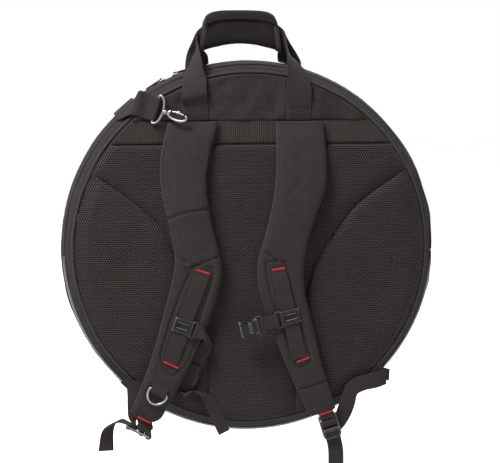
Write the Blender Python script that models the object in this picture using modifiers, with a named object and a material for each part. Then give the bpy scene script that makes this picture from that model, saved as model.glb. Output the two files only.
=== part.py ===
"""Round backpack cymbal bag: sewn shell, zips, carry handle, harness and sling hook.

Metres, +Z up. The harness side faces -Y and the flap opens towards +Y.
The origin is the middle of the carry grip's underside, where a hand holds the bag.
Every piece is written in the bag's own frame, whose centre hangs below the origin.
"""
import math

import bpy
import bmesh
from mathutils import Euler, Matrix, Vector

# Shell
EDGE_RADIUS = 0.289
BULGE_RISE = 0.019
BULGE_DROP = 0.004
BACK_DEPTH = 0.045
FRONT_DEPTH = 0.050
PANEL_PROUD = 0.005
PANEL_WALL = 0.008
GUSSET_WALL = 0.004
PIPING_RADIUS = 0.003
FOLD_HEIGHT = -0.009
TOUCH_GAP = 0.0003

# Back panel covering
FABRIC_WALL = 0.002
BAND_TOP = 0.2105
BAND_HEIGHT = 0.038
BAND_WALL = 0.003
SEAM_GAP = 0.001
LOBE_WALL = 0.0085
CENTRE_PAD_WALL = 0.006
PAD_RIM = 0.003
PAD_MARGIN = 0.004

# Main zip
ZIP_OFFSET = 0.022
TAPE_WIDTH = 0.0115
TAPE_WALL = 0.0016
COIL_RISE = 0.0016
COIL_GAP = 0.0006
SLIDER_LENGTH = 0.011
SLIDER_WIDTH = 0.009
SLIDER_PLATE = 0.0016
SLIDER_LEFT_ANGLE = math.radians(117.0)
SLIDER_RIGHT_ANGLE = math.radians(112.5)
BRIDGE_WIDTH = 0.0024
BRIDGE_WALL = 0.0013
BRIDGE_HOLE = 0.0030
PULL_LENGTH = 0.030
PULL_WIDTH = 0.008
PULL_WALL = 0.0014
PULL_EYE = 0.0050

# Front pocket
POCKET_RADIUS = 0.262
POCKET_TOP = -0.032
POCKET_DEPTH = 0.030
POCKET_WALL = 0.003
POCKET_RIM = 0.008
POCKET_ZIP_DROP = 0.022
POCKET_ZIP_LENGTH = 0.400
POCKET_SLIDER_INSET = 0.050

# Inside
DIVIDER_RADIUS = 0.272
DIVIDER_WALL = 0.005
DIVIDER_BACK_PLACE = -0.020
DIVIDER_FRONT_PLACE = 0.010
GUARD_WALL = 0.006
GUARD_WIDTH = 0.062
GUARD_ANGLE = math.radians(48.0)

# Carry handle
GRIP_LEAN = 0.014
GRIP_PLACE = -0.010
GRIP_DROP = 0.334
GRIP_LENGTH = 0.126
GRIP_HEIGHT = 0.050
GRIP_DEPTH = 0.030
GRIP_WALL = 0.005
GRIP_FLAP_WALL = 0.002
GRIP_SEAM_ANGLE = math.radians(8.0)
HANDLE_WIDTH = 0.040
WEBBING_WALL = 0.0018
HANDLE_SPREAD = 0.0835
HANDLE_SHIFT = -0.0055
HANDLE_FOOT = 0.012
FRONT_LEG_PLACE = 0.002
GRIP_ARCH = 0.008
FLAP_START_ANGLE = math.radians(20.0)
FLAP_SWEEP_ANGLE = math.radians(110.0)

# Harness
STRAP_WALL = 0.012
STRAP_STAND = 0.0164
STRAP_RIM = 0.0035
WEBBING_WIDTH = 0.025
STRIP_CLEARANCE = 0.0024
CHEST_WIDTH = 0.022
SLIDER_BODY = 0.032
SLIDER_HEIGHT = 0.024
SLIDER_FACE = 0.0022
SLIDER_LIP = 0.004
LOOP_BAR = 0.003
LOOP_SLOT = 0.0045
BUCKLE_LENGTH = 0.034
BUCKLE_WIDTH = 0.034
BUCKLE_DEPTH = 0.011
BUCKLE_WALL = 0.002
BUCKLE_BAR = 0.005
PLUG_WALL = 0.005
RING_WIRE = 0.002
LOCK_WIDTH = 0.031
LOCK_LENGTH = 0.040
LOCK_WALL = 0.003
LOCK_SLOT = 0.0065
LOCK_BAR = 0.005
TAIL_LENGTH = 0.085
TAB_WALL = 0.003

# Sling end with its swivel hook
SLING_WIDTH = 0.040
SLING_START = 0.009
SLING_ANGLE = math.radians(131.0)
HOOK_TILT = math.radians(20.0)
GATE_START_ANGLE = math.radians(40.0)
GATE_STOP_ANGLE = math.radians(140.0)
EYE_WIRE = 0.0022
EYE_DEPTH = 0.010
SWIVEL_RADIUS = 0.0045
SWIVEL_LENGTH = 0.007
HOOK_LENGTH = 0.036
HOOK_WIDTH = 0.018
HOOK_WIRE = 0.0025
GATE_WIRE = 0.0016

# Places along the creases and strap edges, as shares of the edge radius (across, up)
LEFT_CREASE_SHARES = ((-0.905, 0.450), (-0.730, 0.346), (-0.540, 0.187), (-0.446, 0.017), (-0.401, -0.107),
                      (-0.325, -0.330), (-0.262, -0.560), (-0.246, -0.760), (-0.246, -0.950))
RIGHT_CREASE_SHARES = ((0.880, 0.450), (0.730, 0.349), (0.560, 0.211), (0.448, 0.030), (0.346, -0.118),
                       (0.305, -0.330), (0.270, -0.560), (0.262, -0.760), (0.260, -0.950))
LEFT_STRAP_SHARES = (((-0.464, 0.726), (-0.183, 0.726)), ((-0.509, 0.519), (-0.239, 0.519)),
                     ((-0.502, 0.329), (-0.253, 0.346)), ((-0.457, 0.121), (-0.215, 0.121)),
                     ((-0.433, -0.048), (-0.170, -0.069)), ((-0.460, -0.208), (-0.187, -0.211)),
                     ((-0.516, -0.415), (-0.253, -0.415)), ((-0.581, -0.640), (-0.360, -0.657)),
                     ((-0.685, -0.900), (-0.505, -0.934)))
RIGHT_STRAP_SHARES = (((0.138, 0.726), (0.405, 0.726)), ((0.138, 0.516), (0.419, 0.519)),
                      ((0.125, 0.329), (0.415, 0.363)), ((0.083, 0.125), (0.356, 0.190)),
                      ((0.038, -0.035), (0.304, 0.000)), ((0.035, -0.190), (0.294, -0.201)),
                      ((0.083, -0.363), (0.343, -0.419)), ((0.187, -0.640), (0.398, -0.647)),
                      ((0.329, -0.958), (0.484, -0.917)))
STRAP_STAND_SHARES = (0.0, 0.62, 0.9, 1.0, 1.0, 1.0, 1.0, 1.0, 0.8)
LEFT_STRIP_SHARES = ((-0.273, -0.097), (-0.464, -0.623))
RIGHT_STRIP_SHARES = ((0.142, -0.087), (0.268, -0.609))
LEFT_SLIDER_SHARE = 0.60
D_RING_SHARES = (-0.529, -0.785)
RIGHT_SLIDER_SHARE = 0.54

HOOK_TAPER_SHARE = 0.8
HANDLE_NEST_SHARE = 0.42
# Rows up a handle leg: reach across, depth, height, the way its width points, and its width
BACK_HANDLE_SHARES = ((1.0, 0.0, 0.0, (1, 0, 0), 1.0), (1.0, 0.0, 0.34, (1, 0, 0), 1.0),
                      (1.0, 0.02, 0.50, (0.98, -0.15, 0), 1.0), (1.0, 0.30, 0.64, (0.6, -0.78, 0.15), 0.95),
                      (0.99, 0.80, 0.78, (0.15, -0.8, 0.5), 0.8),
                      (0.94, 1.0, 0.895, (-0.4, -0.2, 0.9), 0.65), (0.80, 1.0, 0.946, (-0.25, 0, 1), 0.62),
                      (0.50, 1.0, 0.977, (-0.08, 0, 1), 0.78), (0.0, 1.0, 1.0, (0, 0, 1), 0.94))
FRONT_HANDLE_SHARES = ((1.0, 0.75, 0.06, (0.95, 0.2, 0.276), 1.0), (1.0, 0.8, 0.26, (0.97, 0.2, 0.1), 1.0),
                       (1.01, 0.5, 0.48, (0.95, 0.15, -0.3), 0.5),
                       (0.96, 0.15, 0.69, (0.7, 0.1, -0.7), 0.5), (0.85, 0.0, 0.82, (0.4, 0, -0.9), 0.58),
                       (0.50, 0.0, 0.935, (0.08, 0, -1), 0.66), (0.0, 0.0, 1.0, (0, 0, -1), 0.66))
# Rows along an anchor webbing: across and up as shares of the edge radius, depth towards the strap, turn
LEFT_ANCHOR_SHARES = ((-0.702, -0.754, 0.12, (1, 0, 0)), (-0.685, -0.830, 0.26, (1, 0, 0)),
                      (-0.678, -0.893, 0.53, (0.85, 0.5, 0)), (-0.692, -0.935, 0.88, (0.2, 0.97, 0)))
RIGHT_ANCHOR_SHARES = ((0.768, -0.727, 0.115, (-0.2, 0, 1)), (0.716, -0.744, 0.46, (-0.15, 0, 1)),
                       (0.644, -0.768, 0.53, (-0.1, 0, 1)), (0.574, -0.817, 0.57, (0.45, 0, 0.9)),
                       (0.540, -0.900, 0.56, (0.95, 0, 0.3)), (0.505, -0.997, 0.54, (0.957, 0, 0.29)))
LEFT_TAB_SHARES = ((-0.690, -0.722), (-0.652, -0.757), (-0.700, -0.800), (-0.745, -0.755))
RIGHT_TAB_SHARES = ((0.680, -0.724), (0.724, -0.680), (0.800, -0.700), (0.790, -0.750), (0.720, -0.770))
LEFT_BAR_SHARES = (-0.592, -1.042)
RIGHT_BAR_SHARES = (0.431, -0.957)
# Places along the hanging tail from the lock's lip, as shares of the tail's length
RIGHT_TAIL_SHARES = ((0.05, 0, -0.25), (0.06, 0, -0.6), (0.06, 0, -1))
LEFT_TAIL_SHARES = ((-0.745, -0.957, (0.3, 0.95, 0)), (-0.790, -0.975, (0.55, 0.8, 0)),
                    (-0.818, -1.020, (0.8, 0.6, 0)), (-0.828, -1.130, (0.98, 0.1, 0)))
LEFT_LOOP_SHARES = ((-0.603, -0.928, (0.9, 0, -0.43)), (-0.588, -0.985, (0.6, 0.75, -0.2)),
                    (-0.556, -1.020, (0.2, 1, 0)), (-0.548, -1.050, (0, 1, 0)))
SLING_BAR_SHARES = (-0.529, 0.796)

CUT_OVERRUN = 0.002
WELD_REACH = 0.00001
UNIT = 1.0

CENTRE = Vector((GRIP_LEAN, -GRIP_PLACE, -GRIP_DROP))
BACK_SEAT = -BACK_DEPTH - PANEL_PROUD
FRONT_SEAT = FRONT_DEPTH + PANEL_PROUD
PANEL_RADIUS = EDGE_RADIUS - PIPING_RADIUS - TOUCH_GAP
COVER_RADIUS = PANEL_RADIUS - PAD_MARGIN / 2
STRAP_MIDDLE = BACK_SEAT - BAND_WALL - STRAP_WALL / 2
STRAP_FACE = STRAP_MIDDLE - STRAP_STAND - STRAP_WALL / 2
OUTWARD = Vector((0, -1, 0))
HOOK_ACROSS = Vector((0.30, 0, 0.954)).normalized()
HOOK_ALONG = Vector((HOOK_ACROSS.z, 0, -HOOK_ACROSS.x))


def clear_scene():
    """Remove what the scene holds before the bag is made."""
    for old in list(bpy.data.objects):
        bpy.data.objects.remove(old)


def new_collection(name):
    """A collection linked to the scene."""
    group = bpy.data.collections.new(name)
    bpy.context.scene.collection.children.link(group)
    return group


clear_scene()
BAG = new_collection("cymbal_bag")
CUTTERS = new_collection("cutters")


def finish(name, colour, roughness, metallic=0.0):
    """A Principled material of one colour."""
    material = bpy.data.materials.new(name)
    material.use_nodes = True
    shader = material.node_tree.nodes["Principled BSDF"]
    shader.inputs["Base Color"].default_value = (*colour, 1.0)
    shader.inputs["Roughness"].default_value = roughness
    shader.inputs["Metallic"].default_value = metallic
    return material


SHELL_FABRIC = finish("shell_fabric", (0.040, 0.034, 0.033), 0.85)
AIR_MESH = finish("air_mesh", (0.030, 0.026, 0.025), 0.95)
RIBBED_ELASTIC = finish("ribbed_elastic", (0.042, 0.036, 0.035), 0.8)
STRAP_FABRIC = finish("strap_fabric", (0.044, 0.037, 0.036), 0.85)
WEBBING = finish("webbing", (0.035, 0.031, 0.030), 0.7)
PIPING = finish("piping", (0.045, 0.042, 0.041), 0.45)
LINING = finish("lining", (0.055, 0.052, 0.050), 0.9)
ZIP_TAPE = finish("zip_tape", (0.020, 0.019, 0.019), 0.7)
BLACK_PLASTIC = finish("black_plastic", (0.018, 0.017, 0.017), 0.35)
STEEL = finish("steel", (0.62, 0.61, 0.59), 0.25, 1.0)


def place_of(empty):
    """Where a pivot stands in the bag's frame."""
    return Vector(empty["place"])


def joint_pivot(name, spot, parent=None):
    """An empty on a joint's axis, carried by the bag's centre or by another pivot."""
    empty = bpy.data.objects.new(name, None)
    BAG.objects.link(empty)
    empty["place"] = Vector(spot)
    empty.parent = parent or BAG_CENTRE
    empty.location = Vector(spot) - place_of(empty.parent)
    return empty


BAG_CENTRE = bpy.data.objects.new("bag_centre", None)
BAG.objects.link(BAG_CENTRE)
BAG_CENTRE.location = CENTRE
BAG_CENTRE["place"] = Vector((0, 0, 0))


def seat(piece, carrier=None, frame=None):
    """Parent a piece to a pivot and place its local frame in the bag's frame."""
    holder = carrier or BAG_CENTRE
    piece.parent = holder
    piece.matrix_parent_inverse = Matrix.Translation(-place_of(holder))
    piece.matrix_basis = frame or Matrix.Identity(4)
    return piece


def frame_at(spot, along, outward):
    """A frame whose x runs along, whose z faces outward and whose origin is the spot."""
    x_axis = Vector(along).normalized()
    z_axis = (Vector(outward) - x_axis * Vector(outward).dot(x_axis)).normalized()
    y_axis = z_axis.cross(x_axis)
    turn = Matrix((x_axis, y_axis, z_axis)).transposed().to_4x4()
    return Matrix.Translation(Vector(spot)) @ turn


def add_object(name, data, material):
    """Link a new object of the bag with its material."""
    piece = bpy.data.objects.new(name, data)
    data.materials.append(material)
    BAG.objects.link(piece)
    return piece


def round_off(piece, width, steps=2):
    """Bevel the sharp edges of a piece after its loose points are welded."""
    weld = piece.modifiers.new("weld", "WELD")
    weld.merge_threshold = WELD_REACH
    bevel = piece.modifiers.new("rim", "BEVEL")
    bevel.width = width
    bevel.segments = steps
    bevel.limit_method = "ANGLE"
    bevel.angle_limit = math.radians(50.0)
    return piece


def smooth(points, share):
    """The point of a Catmull-Rom curve through the points, at a share of their count."""
    spans = len(points) - 1
    step = min(int(share * spans), spans - 1)
    part = share * spans - step
    second, third = points[step], points[step + 1]
    first = points[step - 1] if step > 0 else second * 2 - third
    fourth = points[step + 2] if step + 2 <= spans else third * 2 - second
    slope_in = (third - first) / 2
    slope_out = (fourth - second) / 2
    square, cube = part ** 2, part ** 3
    return (second * (2 * cube - 3 * square + 1) + slope_in * (cube - 2 * square + part)
            + third * (3 * square - 2 * cube) + slope_out * (cube - square))


def edge_point(shares):
    """A place in the bag's upright plane from shares of the edge radius."""
    return Vector((shares[0] * EDGE_RADIUS, 0, shares[1] * EDGE_RADIUS))


def sheet(name, columns, rows, spot, wall, material, carrier=None):
    """A grid whose points are put in place by spot(across, along), given a wall by Solidify."""
    grid = bmesh.new()
    bmesh.ops.create_grid(grid, x_segments=columns, y_segments=rows, size=UNIT)
    for corner in grid.verts:
        across = (corner.co.x / UNIT + 1) / 2
        along = (corner.co.y / UNIT + 1) / 2
        corner.co = spot(across, along)
    mesh = bpy.data.meshes.new(name)
    grid.to_mesh(mesh)
    grid.free()
    piece = add_object(name, mesh, material)
    shell = piece.modifiers.new("wall", "SOLIDIFY")
    shell.thickness = wall
    shell.offset = 0.0
    shell.use_even_offset = True
    return seat(piece, carrier)


def ribbon(name, stations, rows, material, carrier=None, wall=WEBBING_WALL):
    """Webbing through stations, each a middle point and the vector across the full width."""
    middles = [Vector(station[0]) for station in stations]
    widths = [Vector(station[1]) for station in stations]

    def spot(across, along):
        return smooth(middles, along) + smooth(widths, along) * (across - 0.5)

    return sheet(name, 1, rows, spot, wall, material, carrier)


def outline(name, loops, depth, material, carrier=None, frame=None, fill="BOTH"):
    """A flat outline, its first loop outside and the others holes, extruded both ways."""
    curve = bpy.data.curves.new(name, "CURVE")
    curve.dimensions = "2D"
    curve.fill_mode = fill
    curve.extrude = depth / 2
    for loop in loops:
        spline = curve.splines.new("POLY")
        spline.points.add(len(loop) - 1)
        for point, corner in zip(spline.points, loop):
            point.co = (corner[0], corner[1], 0, 1)
        spline.use_cyclic_u = True
    return seat(add_object(name, curve, material), carrier, frame)


def upright(name, loops, middle, depth, material, carrier=None, fill="BOTH"):
    """An outline in the bag's X-Z plane, extruded along Y about its middle."""
    frame = Matrix.Translation((0, middle, 0)) @ Euler((math.pi / 2, 0, 0)).to_matrix().to_4x4()
    return outline(name, loops, depth, material, carrier, frame, fill)


def tube(name, points, radius, material, closed=False, carrier=None, frame=None, sides=1):
    """A round wire through points, with filled ends unless it is closed."""
    curve = bpy.data.curves.new(name, "CURVE")
    curve.dimensions = "3D"
    curve.bevel_depth = radius
    curve.bevel_resolution = sides
    curve.use_fill_caps = not closed
    spline = curve.splines.new("POLY")
    spline.points.add(len(points) - 1)
    for point, spot in zip(spline.points, points):
        point.co = (*spot, 1)
    spline.use_cyclic_u = closed
    return seat(add_object(name, curve, material), carrier, frame)


def block(name, size, material, carrier=None, frame=None):
    """A box of the given size about its own origin."""
    box = bmesh.new()
    bmesh.ops.create_cube(box, size=UNIT)
    bmesh.ops.scale(box, vec=Vector(size), verts=box.verts)
    mesh = bpy.data.meshes.new(name)
    box.to_mesh(mesh)
    box.free()
    return seat(add_object(name, mesh, material), carrier, frame)


def cylinder(name, radius, length, material, carrier=None, frame=None):
    """A round bar along its own z axis."""
    shape = bmesh.new()
    bmesh.ops.create_cone(shape, cap_ends=True, segments=16, radius1=radius, radius2=radius, depth=length)
    mesh = bpy.data.meshes.new(name)
    shape.to_mesh(mesh)
    shape.free()
    return seat(add_object(name, mesh, material), carrier, frame)


def disc(name, radius, wall, middle, height, material, carrier=None):
    """A round panel whose axis runs along Y."""
    shape = bmesh.new()
    bmesh.ops.create_cone(shape, cap_ends=True, segments=64, radius1=radius, radius2=radius, depth=wall)
    mesh = bpy.data.meshes.new(name)
    shape.to_mesh(mesh)
    shape.free()
    frame = Matrix.Translation((0, middle, height)) @ Euler((math.pi / 2, 0, 0)).to_matrix().to_4x4()
    return seat(add_object(name, mesh, material), carrier, frame)


def as_mesh(piece):
    """Turn a curve object into a mesh object of the same name and place."""
    bpy.context.view_layer.update()
    graph = bpy.context.evaluated_depsgraph_get()
    mesh = bpy.data.meshes.new_from_object(piece.evaluated_get(graph))
    weld = bmesh.new()
    weld.from_mesh(mesh)
    bmesh.ops.remove_doubles(weld, verts=weld.verts, dist=WELD_REACH)
    weld.to_mesh(mesh)
    weld.free()
    name, world, carrier = piece.name, piece.matrix_world.copy(), piece.parent
    bpy.data.objects.remove(piece)
    solid = bpy.data.objects.new(name, mesh)
    BAG.objects.link(solid)
    solid.parent = carrier
    solid.matrix_parent_inverse = carrier.matrix_world.inverted()
    solid.matrix_basis = world
    return solid


def combine(piece, tool, operation):
    """Join or cut a mesh with a tool that is kept hidden among the cutters."""
    BAG.objects.unlink(tool)
    CUTTERS.objects.link(tool)
    tool.hide_render = True
    tool.display_type = "WIRE"
    change = piece.modifiers.new(operation.lower(), "BOOLEAN")
    change.operation = operation
    change.object = tool
    return piece


def arc(radius, start, stop, count, height=0.0):
    """Points of a circle's arc about the bag's axis, both ends included."""
    turns = [start + (stop - start) * step / count for step in range(count + 1)]
    return [(radius * math.cos(turn), height + radius * math.sin(turn)) for turn in turns]


def chord_angle(height, radius):
    """The angle above the middle line at which a circle reaches a height."""
    return math.asin(max(-1.0, min(1.0, height / radius)))


def segment_above(height, radius, count=30):
    """The outline of a circle's part above a height."""
    low = chord_angle(height, radius)
    return arc(radius, low, math.pi - low, count)


def segment_below(height, radius, count=30):
    """The outline of a circle's part below a height."""
    low = chord_angle(height, radius)
    return arc(radius, math.pi - low, 2 * math.pi + low, count)


def rounded(width, height, corner, steps=3):
    """The outline of a rectangle with round corners about its middle."""
    points = []
    for turn, (side, rise) in enumerate(((1, 1), (-1, 1), (-1, -1), (1, -1))):
        centre = (side * (width / 2 - corner), rise * (height / 2 - corner))
        for step in range(steps + 1):
            angle = (turn + step / steps) * math.pi / 2
            points.append((centre[0] + corner * math.cos(angle), centre[1] + corner * math.sin(angle)))
    return points


def bulge_at(depth):
    """How far out the gusset stands at a depth: 0 at the piped edges, 1 in the middle."""
    middle = (FRONT_DEPTH - BACK_DEPTH) / 2
    half = (FRONT_DEPTH + BACK_DEPTH) / 2 - PIPING_RADIUS
    return max(0.0, 1 - ((depth - middle) / half) ** 2)


def shell_radius(depth):
    """The middle radius of the gusset's wall at a depth."""
    return EDGE_RADIUS + BULGE_RISE * bulge_at(depth)


def shell_height(depth):
    """The height of the gusset's circle at a depth, lower where it bulges."""
    return -BULGE_DROP * bulge_at(depth)


def shell_point(depth, angle, lift=0.0):
    """A place on the gusset's middle surface, raised outward by a lift."""
    reach = shell_radius(depth) + lift
    return Vector((reach * math.cos(angle), depth, shell_height(depth) + reach * math.sin(angle)))


def ring_sheet(name, columns, rows, depths, side, wall, material, lift=None, carrier=None):
    """A strip of the gusset above (side 1) or below (side -1) the fold."""
    def spot(across, along):
        depth = depths[0] + (depths[1] - depths[0]) * across
        rise = lift(across) if lift else 0.0
        reach = shell_radius(depth) + rise
        end_height = FOLD_HEIGHT - shell_height(depth) + side * TOUCH_GAP
        low = math.asin(end_height / reach)
        angle = low + (math.pi - 2 * low) * along
        if side < 0:
            angle = math.pi - low + (math.pi + 2 * low) * along
        return shell_point(depth, angle, rise)

    return sheet(name, columns, rows, spot, wall, material, carrier)


ZIP_RADIUS = shell_radius(ZIP_OFFSET)
ZIP_HEIGHT = shell_height(ZIP_OFFSET)
COIL_TOP = ZIP_RADIUS + TAPE_WALL / 2 + COIL_RISE
TAPE_BACK = (ZIP_OFFSET - TAPE_WIDTH, ZIP_OFFSET - COIL_GAP / 2)
TAPE_FRONT = (ZIP_OFFSET + COIL_GAP / 2, ZIP_OFFSET + TAPE_WIDTH)
GUSSET_ENDS = (-BACK_DEPTH + PIPING_RADIUS + 2 * TOUCH_GAP, FRONT_DEPTH - PIPING_RADIUS - 2 * TOUCH_GAP)

FLAP_PIVOT = joint_pivot("front_flap_pivot", (0, FRONT_SEAT + TOUCH_GAP, FOLD_HEIGHT))


def make_shell():
    """Back panel, gusset, front panels and the piping round both edges."""
    disc("back_panel", PANEL_RADIUS, PANEL_WALL, BACK_SEAT + PANEL_WALL / 2, 0, SHELL_FABRIC)
    ring_sheet("gusset_lower", 7, 34, GUSSET_ENDS, -1, GUSSET_WALL, SHELL_FABRIC)
    back_ends = (GUSSET_ENDS[0], TAPE_BACK[0] - TOUCH_GAP)
    ring_sheet("gusset_back_strip", 3, 34, back_ends, 1, GUSSET_WALL, SHELL_FABRIC)
    front_ends = (TAPE_FRONT[1] + TOUCH_GAP, GUSSET_ENDS[1])
    ring_sheet("gusset_front_strip", 1, 34, front_ends, 1, GUSSET_WALL, SHELL_FABRIC, None, FLAP_PIVOT)
    middle = FRONT_SEAT - PANEL_WALL / 2
    low = segment_below(FOLD_HEIGHT - TOUCH_GAP, PANEL_RADIUS)
    high = segment_above(FOLD_HEIGHT + TOUCH_GAP, PANEL_RADIUS)
    upright("front_panel_lower", [low], middle, PANEL_WALL, SHELL_FABRIC)
    upright("front_panel_upper", [high], middle, PANEL_WALL, SHELL_FABRIC, FLAP_PIVOT)
    ring = [(x, -BACK_DEPTH, z) for x, z in arc(EDGE_RADIUS, 0, 2 * math.pi, 60)[:-1]]
    tube("piping_back", ring, PIPING_RADIUS, PIPING, closed=True)
    low = [(x, FRONT_DEPTH, z) for x, z in segment_below(FOLD_HEIGHT - TOUCH_GAP, EDGE_RADIUS)]
    tube("piping_front_lower", low, PIPING_RADIUS, PIPING)
    high = [(x, FRONT_DEPTH, z) for x, z in segment_above(FOLD_HEIGHT + TOUCH_GAP, EDGE_RADIUS)]
    tube("piping_front_upper", high, PIPING_RADIUS, PIPING, carrier=FLAP_PIVOT)


def crease_line(shares, height):
    """Where a crease lies across the back at a height."""
    points = [edge_point(pair) for pair in shares]
    steps = 60
    trace = [smooth(points, step / steps) for step in range(steps + 1)]
    for upper, lower in zip(trace, trace[1:]):
        if lower.z <= height <= upper.z:
            part = (height - lower.z) / (upper.z - lower.z)
            return lower.x + (upper.x - lower.x) * part
    return trace[0].x if height > trace[0].z else trace[-1].x


def rim_width(height):
    """Half the width of the covered back at a height."""
    return math.sqrt(max(0.0, COVER_RADIUS ** 2 - height ** 2))


def centre_pad_outline():
    """The hourglass pad between the two creases, from the band to the bottom."""
    top = BAND_TOP - BAND_HEIGHT - SEAM_GAP
    bottom = -math.sqrt(COVER_RADIUS ** 2 - (LEFT_CREASE_SHARES[-1][0] * EDGE_RADIUS) ** 2)
    steps = 16
    left, right = [], []
    for step in range(steps + 1):
        height = top + (bottom - top) * step / steps
        wide = rim_width(height)
        crease_left = crease_line(LEFT_CREASE_SHARES, height) + PAD_MARGIN / 2
        crease_right = crease_line(RIGHT_CREASE_SHARES, height) - PAD_MARGIN / 2
        left.append((max(-wide, crease_left), height))
        right.append((min(wide, crease_right), height))
    return left + right[::-1]


def lobe_outline(shares, side):
    """A side pad between its crease and the piped edge."""
    points = []
    steps = 16
    top = shares[0][1] * EDGE_RADIUS - 2 * PAD_MARGIN
    bottom = -math.sqrt(COVER_RADIUS ** 2 - (shares[-1][0] * EDGE_RADIUS) ** 2) + PAD_MARGIN
    for step in range(steps + 1):
        height = top + (bottom - top) * step / steps
        inner = side * (crease_line(shares, height) - side * -PAD_MARGIN / 2)
        points.append((side * min(inner, rim_width(height) - PAD_MARGIN), height))
    first = math.asin(top / COVER_RADIUS)
    last = math.asin(bottom / COVER_RADIUS)
    outer = arc(COVER_RADIUS, last, first, steps)
    return points + [(side * x, z) for x, z in outer]


def band_outline(low, high):
    """The part of the covered back between two heights."""
    right = arc(COVER_RADIUS, chord_angle(low, COVER_RADIUS), chord_angle(high, COVER_RADIUS), 6)
    return right + [(-x, z) for x, z in reversed(right)]


def make_back_cover():
    """Fabric yoke, ribbed elastic band and the three mesh pads."""
    seat_line = BACK_SEAT - TOUCH_GAP
    yoke = segment_above(BAND_TOP + TOUCH_GAP, COVER_RADIUS, 20)
    upright("yoke_panel", [yoke], seat_line - FABRIC_WALL / 2, FABRIC_WALL, SHELL_FABRIC)
    band = band_outline(BAND_TOP - BAND_HEIGHT, BAND_TOP)
    upright("ribbed_band", [band], seat_line - BAND_WALL / 2, BAND_WALL, RIBBED_ELASTIC)
    pads = (("mesh_pad_centre", centre_pad_outline(), CENTRE_PAD_WALL),
            ("mesh_pad_left", lobe_outline(LEFT_CREASE_SHARES, -1), LOBE_WALL),
            ("mesh_pad_right", lobe_outline(RIGHT_CREASE_SHARES, 1), LOBE_WALL))
    for name, loop, wall in pads:
        round_off(upright(name, [loop], seat_line - wall / 2, wall, AIR_MESH), PAD_RIM)


def zip_slider(name, spot, along, outward, carrier, material=STEEL):
    """A slider plate with its bridge, standing over the coil."""
    frame = frame_at(spot, along, outward)
    plate_size = (SLIDER_LENGTH, SLIDER_WIDTH, SLIDER_PLATE)
    lifted = frame @ Matrix.Translation((0, 0, SLIDER_PLATE / 2))
    plate = block(name, plate_size, material, carrier, lifted)
    half = PULL_EYE / 2 + BRIDGE_WALL
    foot = SLIDER_PLATE / 2
    top = SLIDER_PLATE + BRIDGE_HOLE
    inner = half - BRIDGE_WALL
    loop = [(-half, foot), (-half, top + BRIDGE_WALL), (half, top + BRIDGE_WALL), (half, foot),
            (inner, foot), (inner, top), (-inner, top), (-inner, foot)]
    turned = frame @ Euler((math.pi / 2, 0, 0)).to_matrix().to_4x4()
    arch = as_mesh(outline(name + "_bridge", [loop], BRIDGE_WIDTH, material, carrier, turned))
    return combine(plate, arch, "UNION")


def zip_pull(name, spot, along, outward, carrier):
    """A pull tab whose eye goes through the slider's bridge."""
    crossbar = PULL_WALL
    eye_end = PULL_EYE + crossbar / 2
    half = PULL_WIDTH / 2
    outer = [(-crossbar / 2, -half), (PULL_LENGTH - half, -half), (PULL_LENGTH, -half / 2),
             (PULL_LENGTH, half / 2), (PULL_LENGTH - half, half), (-crossbar / 2, half)]
    eye = [(crossbar / 2, -PULL_EYE / 2), (crossbar / 2, PULL_EYE / 2), (eye_end, PULL_EYE / 2),
           (eye_end, -PULL_EYE / 2)]
    return outline(name, [outer, eye], PULL_WALL, BLACK_PLASTIC, carrier, frame_at(spot, along, outward))


def zip_frame(angle, lift):
    """A place over the coil at an angle round the bag, and the way that the tapes face there."""
    radial = Vector((math.cos(angle), 0, math.sin(angle)))
    slope = (shell_radius(TAPE_BACK[0]) - shell_radius(TAPE_FRONT[1])) / (TAPE_FRONT[1] - TAPE_BACK[0])
    outward = (radial - OUTWARD * slope).normalized()
    spot = radial * COIL_TOP + outward * lift + Vector((0, ZIP_OFFSET, ZIP_HEIGHT))
    return spot, outward


def make_main_zip():
    """Two tapes with their coils, and two sliders with pulls."""
    def back_lift(across):
        return COIL_RISE if across > 0.5 else 0.0

    def front_lift(across):
        return COIL_RISE if across < 0.5 else 0.0

    ring_sheet("zip_tape_back", 3, 34, TAPE_BACK, 1, TAPE_WALL, ZIP_TAPE, back_lift)
    ring_sheet("zip_tape_front", 3, 34, TAPE_FRONT, 1, TAPE_WALL, ZIP_TAPE, front_lift, FLAP_PIVOT)
    axis_spot = Vector((0, ZIP_OFFSET, ZIP_HEIGHT))
    for side, angle, turn in (("left", SLIDER_LEFT_ANGLE, 1), ("right", SLIDER_RIGHT_ANGLE, -1)):
        hub = joint_pivot("zip_slider_" + side + "_pivot", axis_spot)
        spot, outward = zip_frame(angle, TAPE_WALL / 2 + TOUCH_GAP)
        along = outward.cross(Vector((0, 1, 0))) * turn
        zip_slider("zip_slider_" + side, spot, along, outward, hub)
        eye = spot + outward * (SLIDER_PLATE + BRIDGE_HOLE / 2)
        swing = joint_pivot("zip_pull_" + side + "_pivot", eye, hub)
        zip_pull("zip_pull_" + side, eye, along, outward, swing)


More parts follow.
